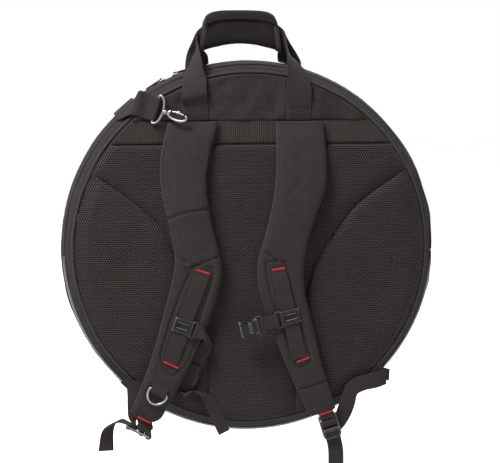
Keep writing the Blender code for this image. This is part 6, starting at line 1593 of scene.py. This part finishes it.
class BAG_OT_straps(bpy.types.Operator):
    """Sew both padded shoulder straps with their webbing strips and bartacks"""
    bl_idname = "bag.straps"
    bl_label = "Shoulder straps"

    def execute(self, context):
        self.faces = {}
        self.strap("left", LEFT_STRAP, LEFT_SEAMS, LEFT_CHANNEL)
        self.strap("right", RIGHT_STRAP, RIGHT_SEAMS, RIGHT_CHANNEL)
        self.strip("left", LEFT_STRIP)
        self.strip("right", RIGHT_STRIP)
        self.bartacks()
        return {"FINISHED"}

    def strap(self, side, table, seams, channel):
        """One strap: a flat oval section with sunk seams, whose upper half swells."""
        line, run = strap_line(table, 14 * MM if side == "left" else 6 * MM)
        count = len(line)
        length = run[-1]
        front, back = 52, 20
        share_front = (1 - np.cos(np.linspace(0, math.pi, front))) / 2
        share_front = 0.5 * share_front + 0.5 * np.linspace(0, 1, front)
        share_back = np.linspace(1, 0, back)[1:-1]
        across = line[:, None, 0] + (line[:, 2] - line[:, 0])[:, None] * share_front
        up = line[:, None, 1] + (line[:, 3] - line[:, 1])[:, None] * share_front
        width = np.hypot(line[:, 2] - line[:, 0], line[:, 3] - line[:, 1])[:, None]
        edge = np.minimum(share_front, 1 - share_front) * width
        middle = (STRAP_MIDDLE - STRAP_STAND * line[:, 4])[:, None]
        thin = (0.40 + 0.60 * smooth_in(run, 26 * MM)) * (0.55 + 0.45 * smooth_in(length - run, 30 * MM))
        half = STRAP_WALL / 2 * thin[:, None]
        places = np.stack([across, up], axis=-1)
        upper = (1 - smooth_in(run - 0.34 * length, 50 * MM))[:, None] * smooth_in(run, 30 * MM)[:, None]
        crown = 2.2 * MM * upper * smooth_in(edge, 26 * MM)
        gap = distance_to(places, soften(channel))
        outside = ~inside(places, soften(channel))
        loft = 1.0 * MM * (1 - upper) * outside * smooth_in(gap, 6 * MM) * smooth_in(edge, 6 * MM)
        rib = -0.6 * MM * np.exp(-((edge - 5.5 * MM) / (1.3 * MM)) ** 2)
        sunk = -1.7 * MM * np.exp(-(gap / (1.5 * MM)) ** 2)
        wander = np.concatenate([places, places[..., :1] * 0], axis=-1)
        slack = ripple(wander, 14, 3.0) * 0.9 * MM + ripple(wander, 46, 5.0) * 0.3 * MM
        creased = np.zeros_like(slack)
        for seam in seams:
            close = distance_to(places, soften(seam))
            sunk = sunk - 2.2 * MM * np.exp(-(close / (1.7 * MM)) ** 2)
            creased = np.maximum(creased, np.exp(-close / (11 * MM)))
            loft = loft + 0.7 * MM * np.exp(-((close - 7 * MM) / (4.5 * MM)) ** 2)
        gathers = pucker(across * 0.9 + up * 0.3, 10 * MM, 2.0) * 0.45 * MM * creased
        folds = 0.0
        for first, last, reach, deep in STRAP_FOLDS[side]:
            close = distance_to(places, np.array([first, last], float) * MM)
            folds = folds - deep * MM * np.exp(-(close / (reach * MM)) ** 2)
            folds = folds + 0.5 * deep * MM * np.exp(-((close - 1.9 * reach * MM) / (reach * MM)) ** 2)
        calm = 1 - (1 - upper) * (1 - outside)
        face = half * (0.05 + 0.95 * round_in(edge, 7.5 * MM)) + crown + loft
        face = face + rib + sunk + gathers + folds + slack * calm * smooth_in(edge, 8 * MM) * thin[:, None]
        outer = np.stack([across, middle - face, up], axis=2)
        back_across = line[:, None, 0] + (line[:, 2] - line[:, 0])[:, None] * share_back
        back_up = line[:, None, 1] + (line[:, 3] - line[:, 1])[:, None] * share_back
        back_edge = np.minimum(share_back, 1 - share_back) * width
        behind = middle + half * (0.05 + 0.95 * round_in(back_edge, 5 * MM))
        inner = np.stack([back_across, behind, back_up], axis=2)
        rows = np.concatenate([outer, inner], axis=1)
        wrapped = np.concatenate([rows, rows[:, :1]], axis=1)
        piece = surface("strap_pad_" + side, rows, tube=True, caps=True, uv=wrapped[..., [0, 2]], sharp=80)
        hem = (CENTRE.x, STRAP_MIDDLE, HEM)
        body = "strap_" + side
        put(piece, "bag", "strap_fabric", replaces=["shoulder_strap_" + side], pad=0.75,
            bend=(body, hem, (CENTRE.x, STRAP_MIDDLE, HEM - 30 * MM)))
        self.faces[side] = outer
        tracks = [self.on_face(side, soften(channel), 0.3 * MM)]
        tracks += [self.on_face(side, soften(seam), 0.3 * MM) for seam in seams]
        for column in (4, front - 5):
            tracks.append((outer[12:, column] + np.array((0, -0.1 * MM, 0)), (0, -1, 0)))
        stitches("strap_stitches_" + side, tracks, body, slot="strap_fabric")

    def on_face(self, side, track, lift):
        """A flat track laid on a strap's face."""
        spots = self.faces[side].reshape(-1, 3)
        found = []
        for across, up in track:
            near = np.argmin((spots[:, 0] - across) ** 2 + (spots[:, 2] - up) ** 2)
            found.append((across, spots[near, 1] - lift, up))
        return np.array(found), (0, -1, 0)

    def strip(self, side, table):
        """The webbing strip, free between its two sewn ends."""
        top = Vector((table[0][0] * EDGE + CENTRE.x, 0, table[0][1] * EDGE + CENTRE.z))
        bottom = Vector((table[1][0] * EDGE + CENTRE.x, 0, table[1][1] * EDGE + CENTRE.z))
        along = (top - bottom).normalized()
        across = Vector((along.z, 0, -along.x)) * 25
        seat, free = -72.75, -74.7
        length = (top - bottom).length / MM
        stations = []
        for down, depth in ((0, seat), (4, seat), (9, seat - 0.2), (17, free + 0.3), (25, free), (60, free),
                            (length - 60, free), (length - 25, free), (length - 17, free + 0.3),
                            (length - 9, seat - 0.2), (length - 4, seat), (length, seat)):
            spot = (top - along * down * MM) / MM
            stations.append((spot.x, depth, spot.z, across.x, 0, across.z))
        webbing("strip_" + side, stations, "strap_" + side, ["strap_webbing_" + side])

    def bartacks(self):
        """Dense red zigzags at the sewn ends."""
        for body in ("strap_left", "strap_right"):
            pieces = []
            for owner, first, last, depth in BARTACKS:
                if owner != body:
                    continue
                start, stop = Vector((first[0], 0, first[1])), Vector((last[0], 0, last[1]))
                ahead = (stop - start).normalized()
                side = Vector((ahead.z, 0, -ahead.x)) * 1.35
                count = int((stop - start).length / 0.62)
                points = []
                for step in range(count + 1):
                    spot = start.lerp(stop, step / count) + side * (1 if step % 2 else -1)
                    points.append((spot.x, CENTRE.y / MM - depth - 0.25, spot.z))
                path = even_trace(np.array(points) * MM, 0.4 * MM)
                pieces.append(sweep("tack", path, 0.42 * MM, sides=6))
            put(weld_pieces("bartacks_" + body, pieces), body, "webbing", "tack")


def buckle_section(width, depth, count=36):
    """A squared oval section of the buckle's moulding."""
    across, rise = squircle(count, 0.42, 0.42)
    return np.stack([across * width, rise * depth], axis=1)


def chest_slider(name, frame_matrix, side, body):
    """A ladder slider with a window over the strip and a loop for the chest webbing."""
    face = frame_matrix @ Matrix.Translation((0, 0, 0.2 * MM))
    window = rounded(19, 12.5, 2.2, centre=(side * -1.5, 0))
    frame_piece = plate(name + "_frame", [rounded(32, 24, 4.5), window], 2.8, face, 1.1)
    outer = rounded(10.5, 28.6, 3.6, centre=(side * 18.2, 0))
    slot = rounded(4.5, 22.6, 1.6, centre=(side * 18.25, 0))
    loop = plate(name + "_loop", [outer, slot], 3.4, frame_matrix @ Matrix.Translation((0, 0, 0.3 * MM)), 1.4)
    pieces = [frame_piece, loop]
    for end in (-1, 1):
        turned = frame_matrix @ Matrix.Rotation(math.pi / 2, 4, "X")
        hook = [(end * 16, 0.4), (end * 16, -5.0), (end * 9, -5.0), (end * 9, -3.5), (end * 12.8, -3.5),
                (end * 12.8, 0.4)]
        pieces.append(plate(name + "_clip", [hook], 22, turned, 0.3))
    for place in (-4.6, 4.6):
        rail = in_frame(frame_matrix, [(side * -10.5, place, -0.4), (side * -1.5, place, 0.1), (side * 7.5, place, -0.4)])
        pieces.append(sweep(name + "_bar", even_trace(rail, 1 * MM), 0.9 * MM, sides=8))
    piece = weld_pieces(name, pieces)
    return put(piece, body, "black_plastic", "shiny_plastic")


class BAG_OT_chest(bpy.types.Operator):
    """Fit the chest strap: sliders, webbing and the side-release buckle"""
    bl_idname = "bag.chest"
    bl_label = "Chest strap"

    def execute(self, context):
        left = frame_at((-98.02, -77.0, -453.24), (0.9399, 0, -0.3413), (0, -1, 0))
        right = frame_at((74.7, -77.0, -440.61), (0.9721, 0, 0.2346), (0, -1, 0))
        piece = chest_slider("sternum_slider_left", left, 1, "chest_slider_left")
        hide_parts("chest_slider_left")
        piece = chest_slider("sternum_slider_right", right, -1, "chest_slider_right")
        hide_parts("chest_slider_right")
        webbing("sternum_webbing_left", CHEST_LEFT, "chest_strap_left", ["chest_webbing_left"])
        webbing("sternum_webbing_right", CHEST_RIGHT, "chest_strap_right", ["chest_webbing_right"])
        piece = surface("sternum_tail", webbing_rows(CHEST_TAIL), tube=True, caps=True, sharp=80)
        put(piece, "chest_strap_left", "webbing")
        self.plug()
        self.socket()
        return {"FINISHED"}

    def plug(self):
        """The buckle's three-pronged plug."""
        shape = [(-13, 5), (-13, -22), (-11.5, -27.2), (-8.6, -27.2), (-8.14, -22), (-8.14, -6), (-6.9, -5),
                 (-2.9, -5), (-2.43, -6), (-2.43, -26), (-1.2, -27.2), (1.2, -27.2), (2.43, -26), (2.43, -6),
                 (2.9, -5), (6.9, -5), (8.14, -6), (8.14, -22), (8.6, -27.2), (11.5, -27.2), (13, -22), (13, 5)]
        slot = rounded(20, 2.2, 0.9, centre=(0, 1.2))
        frame_matrix = frame_at((-86.37, -53.95, -539.3), (0.8879, 0, -0.46), (0, -1, 0))
        piece = plate("plug_moulding", [shape, slot], 5, frame_matrix, 1.0)
        put(piece, "chest_strap_left", "black_plastic", "shiny_plastic", replaces=["buckle_plug"])

    def socket(self):
        """The buckle's waisted socket with its open mouth and its webbing bar."""
        frame_matrix = frame_at((10.41, -78.97, -456.14), (0.235, 0, -0.972), (-0.972, 0, -0.235))
        outer = [(-13.2, 24, 7.5), (-12.6, 26.5, 9.0), (-10, 27, 10.4), (-7, 24.6, 11), (-3.5, 20, 11),
                 (1, 17, 11), (5, 17.4, 11.2), (9, 20.6, 11.6), (12.5, 24.4, 12.0), (15.2, 26.4, 12.2),
                 (16.6, 26.6, 11.8), (17.0, 25.6, 10.8)]
        inner = [(16.6, 23.2, 8.2), (14, 21.8, 7.2), (8, 16.6, 6.8), (2, 13.2, 6.6), (-4, 13, 6.0)]
        rows = []
        for along, width, depth in outer + inner:
            section = buckle_section(width, depth)
            rows.append(in_frame(frame_matrix, [(x, y, along) for x, y in section]))
        sleeve = surface("socket_sleeve", rows, tube=True, caps=True, sharp=50)
        pieces = [sleeve]
        side = frame_matrix @ Matrix.Rotation(math.pi / 2, 4, "X")
        shape = rounded(31, 9.5, 2.4, centre=(0, -15.6))
        hole = rounded(25.5, 3.6, 1.2, centre=(0, -14.9))
        pieces.append(plate("socket_ladder", [[(x, -y) for x, y in shape], [(x, -y) for x, y in hole]], 7.4,
                            side @ Matrix.Scale(-1, 4, (0, 1, 0)), 1.3))
        ridge = [(-9, 5.9, -1.5), (0, 6.1, -1.5), (9, 5.9, -1.5)]
        for turn in (-1, 1):
            for shift in (0, 3.2):
                bar = [(x, turn * -(y - 0.5), z + shift) for x, y, z in ridge]
                path = even_trace(in_frame(frame_matrix, bar), 1 * MM)
                pieces.append(sweep("socket_ridge", path, 0.7 * MM, sides=8))
        piece = weld_pieces("socket_moulding", pieces)
        put(piece, "chest_strap_right", "black_plastic", "shiny_plastic", replaces=["buckle_socket"])


class BAG_OT_lower_ends(bpy.types.Operator):
    """Fit the D-ring, the ladder locks, their webbing and the sewn tabs"""
    bl_idname = "bag.lower_ends"
    bl_label = "Lower ends"

    def execute(self, context):
        self.ring()
        webbing("ring_loop", D_RING_LOOP, "strap_left", ["d_ring_loop"])
        webbing("lock_loop_left", LOOP_LEFT, "strap_left", ["strap_end_loop_left"])
        webbing("lock_loop_right", LOOP_RIGHT, "strap_right", ["strap_end_loop_right"])
        webbing("tail_left", ADJUST_LEFT, "ladder_lock_left", ["adjust_webbing_left"])
        webbing("tail_right", ADJUST_RIGHT, "ladder_lock_right", ["adjust_webbing_right"])
        for side, table, start, stop in (("left", ANCHOR_LEFT, ANCHOR_LEFT[1], ANCHOR_LEFT[-1]),
                                         ("right", ANCHOR_RIGHT, ANCHOR_RIGHT[1], ANCHOR_RIGHT[-6])):
            piece = surface("anchor_" + side, webbing_rows(table), tube=True, caps=True, sharp=80)
            first = tuple(value * MM for value in start[:3])
            last = tuple(value * MM for value in stop[:3])
            put(piece, "bag", "webbing", replaces=["anchor_webbing_" + side], bend=("strap_" + side, first, last))
        self.lock("left", frame_at((-157.09, -62.12, -635.14), (0, 1, 0), (-0.4711, 0, -0.8821)))
        self.lock("right", frame_at((138.56, -62.12, -610.57), (0.957, 0, 0.29), (0, -1, 0)))
        self.tab("left", TAB_LEFT)
        self.tab("right", TAB_RIGHT)
        self.tail_folds()
        return {"FINISHED"}

    def ring(self):
        """The steel D-ring."""
        frame_matrix = frame_at((-138.88, -74.95, -560.86), (0.8713, 0, -0.4907), (0, -1, 0))
        arch = [(16 * math.cos(turn), 18.5 * math.sin(turn) - 3, 0) for turn in np.linspace(math.pi, 2 * math.pi, 40)]
        bar = [(x, 0.35 * math.sin((x + 16) / 32 * math.pi), 0) for x in np.linspace(14.6, -14.6, 16)]
        path = in_frame(frame_matrix, arch + bar)
        piece = sweep("steel_d_ring", path, 1.95 * MM, sides=12, closed=True)
        put(piece, "d_ring", "steel", replaces=["d_ring"])

    def lock(self, side, frame_matrix):
        """A ladder lock: a frame with two slots, round bars and a turned-out lip."""
        outer = [(-15.5, 2.5), (-15.5, -33), (-13.5, -36.8), (-10.5, -37.5), (10.5, -37.5), (13.5, -36.8),
                 (15.5, -33), (15.5, 2.5)]
        slots = [rounded(25.6, 6.5, 1.0, centre=(0, -5.75)), rounded(25.6, 6.5, 1.0, centre=(0, -17.25))]
        body = plate("lock_frame", [outer] + slots, 3.0, frame_matrix, 1.0)
        pieces = [body]
        for place in (0.0, -11.5, -22.6):
            bar = in_frame(frame_matrix, [(-12.6, place, 0.5), (0, place, 0.7), (12.6, place, 0.5)])
            pieces.append(sweep("lock_bar", even_trace(bar, 1 * MM), 1.9 * MM, sides=12))
        rows = []
        for down, rise, wall in ((-24, 1.2, 0.8), (-28, 1.9, 1.2), (-32, 2.9, 1.3), (-36, 4.0, 1.2), (-37.6, 4.6, 0.7)):
            half = 12.8 if down > -30 else 12.2
            section = buckle_section(2 * half, 2 * wall)
            rows.append(in_frame(frame_matrix, [(x, down + 0 * y, rise + y) for x, y in section]))
        pieces.append(surface("lock_lip", rows, tube=True, caps=True, sharp=50))
        for rail in (-1, 1):
            line = [(rail * 14.1, 2.0, 0.7), (rail * 14.1, -10, 1.0), (rail * 14.1, -24, 1.2), (rail * 13.4, -33, 1.8)]
            pieces.append(sweep("lock_rail", even_trace(in_frame(frame_matrix, line), 1 * MM), 1.35 * MM, sides=10))
        piece = weld_pieces("lock_" + side, pieces)
        put(piece, "ladder_lock_" + side, "black_plastic", "shiny_plastic", replaces=["ladder_lock_" + side])

    def tab(self, side, table):
        """A sewn cloth tab at the piped edge."""
        points = [(x * EDGE / MM, z * EDGE / MM) for x, z in table]
        middle = (CENTRE.x / MM, CENTRE.y / MM - 49.8, CENTRE.z / MM)
        piece = plate("tab_" + side, [points], 3.0, frame_at(middle, (1, 0, 0), (0, -1, 0)), 1.1)
        put(piece, "bag", "shell_fabric", replaces=["anchor_tab_" + side])

    def tail_folds(self):
        """Two rows of stitches near the end of the right hanging tail."""
        tracks = []
        for table, body in ((ADJUST_RIGHT, "ladder_lock_right"),):
            end = np.array(table[-1])
            for lift in (3, 9):
                spot = end[:3] + np.array((0, -1.05, lift))
                reach = end[3:] * 0.42
                tracks.append((np.array([spot - reach, spot + reach]) * MM, (0, -1, 0)))
        stitches("tail_stitches", tracks, "ladder_lock_right")


class BAG_OT_sling(bpy.types.Operator):
    """Fit the sling's sewn end with its swivel hook"""
    bl_idname = "bag.sling"
    bl_label = "Sling and hook"

    def execute(self, context):
        webbing("sling_end", SLING, "bag", ["sling_webbing"])
        frame_matrix = frame_at((-138.88, -47.9, -103.96), (0.8964, -0.342, -0.2819), (-0.3263, -0.9397, 0.1026))
        wire = [(0, -22.5, 0), (2.6, -22.4, 0), (5.5, -21.0, 0), (8.6, -17.4, 0), (10.4, -12.2, 0), (11.8, -6.5, 0),
                (12.4, -2.0, 0), (12.4, 2.0, 0), (11.8, 6.5, 0), (10.4, 12.2, 0), (8.6, 17.4, 0), (5.5, 21.0, 0),
                (2.6, 22.4, 0), (0, 22.5, 0)]
        curve = even_trace(in_frame(frame_matrix, wire), 0.8 * MM)
        bar = even_trace(in_frame(frame_matrix, [(-0.5, 21.5, 0), (-0.9, 12, 0), (-0.9, -12, 0), (-0.5, -21.5, 0)]),
                         1.2 * MM)
        radii = np.concatenate([np.full(len(curve), 2.1), np.full(len(bar), 1.75)]) * MM
        eye = sweep("eye_wire", np.vstack([curve, bar]), radii, sides=12, closed=True)
        hub = self.turned("eye_hub", frame_matrix, [(11.6, 0.4), (12.0, 2.6), (13.2, 4.3), (14.6, 4.6), (15.2, 3.9),
                                                    (16.0, 3.9), (16.6, 4.6), (18.2, 4.4), (18.9, 3.4), (19.1, 0.4)])
        put(weld_pieces("hook_eye_steel", [eye, hub]), "hook_eye", "steel", replaces=["hook_eye"])
        self.oval_hook(frame_matrix)
        return {"FINISHED"}

    def turned(self, name, frame_matrix, profile):
        """A part turned round the hook's long axis, from places along it and radii."""
        rows = []
        for along, radius in profile:
            turns = np.arange(28) * 2 * math.pi / 28
            rows.append(in_frame(frame_matrix, [(along, radius * math.cos(t), radius * math.sin(t)) for t in turns]))
        return surface(name, rows, tube=True, caps=True, sharp=40)

    def oval_hook(self, frame_matrix):
        """The hook's oval body with its stem and nose, and the sprung gate with its thumb lug."""
        middle = 37.5
        turns = np.linspace(math.radians(142), math.radians(398), 60)
        path = [(middle + 15.6 * math.cos(turn), 7.0 * math.sin(turn), 0) for turn in turns]
        share = np.linspace(0, 1, 60)
        thick = (2.0 + 0.75 * np.exp(-((share - 0.12) / 0.1) ** 2) + 0.3 * np.sin(share * math.pi)) * MM
        thick[-4:] = thick[-4:] * np.array((0.98, 0.92, 0.8, 0.6))
        body = sweep("oval", in_frame(frame_matrix, path), thick, sides=12)
        stem = self.turned("stem", frame_matrix, [(19.4, 0.4), (19.5, 3.4), (20.4, 4.2), (21.8, 3.9), (23.2, 2.9),
                                                  (24.4, 2.2), (25.0, 0.4)])
        put(weld_pieces("hook_oval", [body, stem]), "hook_body", "steel", replaces=["hook_body"])
        rise = 7.0 * math.sin(math.radians(40))
        line = [(middle - 9.4, rise, 0), (middle - 4, rise + 0.7, 0), (middle + 3, rise + 0.6, 0), (middle + 9.4, rise, 0)]
        gate = sweep("gate_rod", even_trace(in_frame(frame_matrix, line), 0.7 * MM), 1.5 * MM, sides=12)
        lug = sweep("gate_lug", even_trace(in_frame(frame_matrix, [(middle - 2, rise + 0.6, 0), (middle - 1, rise + 2.4, 0),
                                                                   (middle + 1.5, rise + 3.4, 0)]), 0.5 * MM),
                    1.0 * MM, sides=10)
        put(weld_pieces("hook_sprung_gate", [gate, lug]), "hook_gate", "steel", replaces=["hook_gate"])


class BAG_OT_stage(bpy.types.Operator):
    """Set the floor, the lights and the camera"""
    bl_idname = "bag.stage"
    bl_label = "Stage"

    def execute(self, context):
        scene = bpy.context.scene
        scene.view_settings.view_transform = "Standard"
        self.floor()
        self.world(scene)
        self.lamp("key", (-0.95, -1.0, 1.5), 0.8, 80)
        self.lamp("fill", (0.6, -2.6, 0.2), 2.0, 5)
        self.lamp("front", (0.9, 2.4, 0.7), 1.8, 38)
        self.lamp("side", (2.3, 0.55, 0.3), 1.2, 14)
        camera = bpy.data.cameras.new("camera")
        camera.lens = 112.6
        camera.sensor_width = 36
        holder = bpy.data.objects.new("camera", camera)
        scene.collection.objects.link(holder)
        target = Vector((0.0173, 0.010, -0.3116))
        side, rise = math.radians(-5), math.radians(8)
        way = Vector((math.sin(side) * math.cos(rise), -math.cos(side) * math.cos(rise), math.sin(rise)))
        holder.location = target + way * 2.6
        holder.rotation_euler = (-way).to_track_quat("-Z", "Y").to_euler()
        scene.camera = holder
        return {"FINISHED"}

    def seen_white(self, tree):
        """A mask for the rays that look straight at the stage, by camera, mirror or glass."""
        rays = wire_up(tree, "ShaderNodeLightPath")
        first = calc(tree, "MAXIMUM", rays.outputs["Is Camera Ray"], rays.outputs["Is Glossy Ray"])
        return calc(tree, "MAXIMUM", first, rays.outputs["Is Transmission Ray"])

    def floor(self):
        """A pale floor that keeps the bag's shadow."""
        made, tree, shader = blank("pale_floor")
        spot = wire_up(tree, "ShaderNodeTexCoord").outputs["Object"]
        grain = wire_up(tree, "ShaderNodeTexNoise", {"Vector": spot, "Scale": 3.0, "Detail": 3.0})
        pale = mix_colour(tree, grain.outputs[0], (0.80, 0.80, 0.80, 1), (0.83, 0.83, 0.83, 1))
        tree.links.new(pale, shader.inputs["Base Color"])
        shader.inputs["Roughness"].default_value = 0.9
        shader.inputs["Specular IOR Level"].default_value = 0.1
        shader.inputs["Emission Strength"].default_value = 1.0
        seen = self.seen_white(tree)
        glow = mix_colour(tree, seen, (0, 0, 0, 1), (0.80, 0.80, 0.80, 1))
        tree.links.new(glow, shader.inputs["Emission Color"])
        rows = [[(-7, -7, -0.745), (7, -7, -0.745)], [(-7, 7, -0.745), (7, 7, -0.745)]]
        piece = surface("floor", rows)
        piece.data.materials.append(made)

    def world(self, scene):
        """Even light from all round, seen as white."""
        world = bpy.data.worlds.new("studio")
        world.use_nodes = True
        scene.world = world
        tree = world.node_tree
        back = tree.nodes["Background"]
        seen = self.seen_white(tree)
        colour = mix_colour(tree, seen, (0.18, 0.18, 0.185, 1), (1, 1, 1, 1))
        tree.links.new(colour, back.inputs["Color"])
        back.inputs["Strength"].default_value = 1.0

    def lamp(self, name, place, size, power):
        """A square soft light that faces the bag."""
        lamp = bpy.data.lights.new(name, "AREA")
        lamp.size = size
        lamp.energy = power
        holder = bpy.data.objects.new(name, lamp)
        bpy.context.scene.collection.objects.link(holder)
        holder.location = place
        holder.rotation_euler = (Vector((0, 0, -0.33)) - Vector(place)).to_track_quat("-Z", "Y").to_euler()


class BAG_PT_pieces(bpy.types.Panel):
    """The bag's operators, sizes and colours"""
    bl_idname = "BAG_PT_pieces"
    bl_label = "Cymbal bag"
    bl_space_type = "VIEW_3D"
    bl_region_type = "UI"
    bl_category = "Bag"

    def draw(self, context):
        column = self.layout.column()
        for kind in OPERATORS:
            column.operator(kind.bl_idname)
        for settings in (context.scene.bag_sizes, context.scene.bag_colours):
            for name in settings.__annotations__:
                column.prop(settings, name)


OPERATORS = (BAG_OT_shell, BAG_OT_piping, BAG_OT_cover, BAG_OT_main_zip, BAG_OT_pocket, BAG_OT_inside,
             BAG_OT_handle, BAG_OT_straps, BAG_OT_chest, BAG_OT_lower_ends, BAG_OT_sling, BAG_OT_stage)


def register():
    """Add the property groups, operators and panel."""
    for kind in (BagSizes, BagColours, *OPERATORS, BAG_PT_pieces):
        bpy.utils.register_class(kind)
    bpy.types.Scene.bag_sizes = bpy.props.PointerProperty(type=BagSizes)
    bpy.types.Scene.bag_colours = bpy.props.PointerProperty(type=BagColours)


def unregister():
    """Take them away again."""
    del bpy.types.Scene.bag_sizes
    del bpy.types.Scene.bag_colours
    for kind in (BAG_PT_pieces, *reversed(OPERATORS), BagColours, BagSizes):
        bpy.utils.unregister_class(kind)


def main():
    """Make the whole dressing."""
    register()
    for kind in OPERATORS:
        group, name = kind.bl_idname.split(".")
        getattr(getattr(bpy.ops, group), name)()


if __name__ == "__main__":
    main()
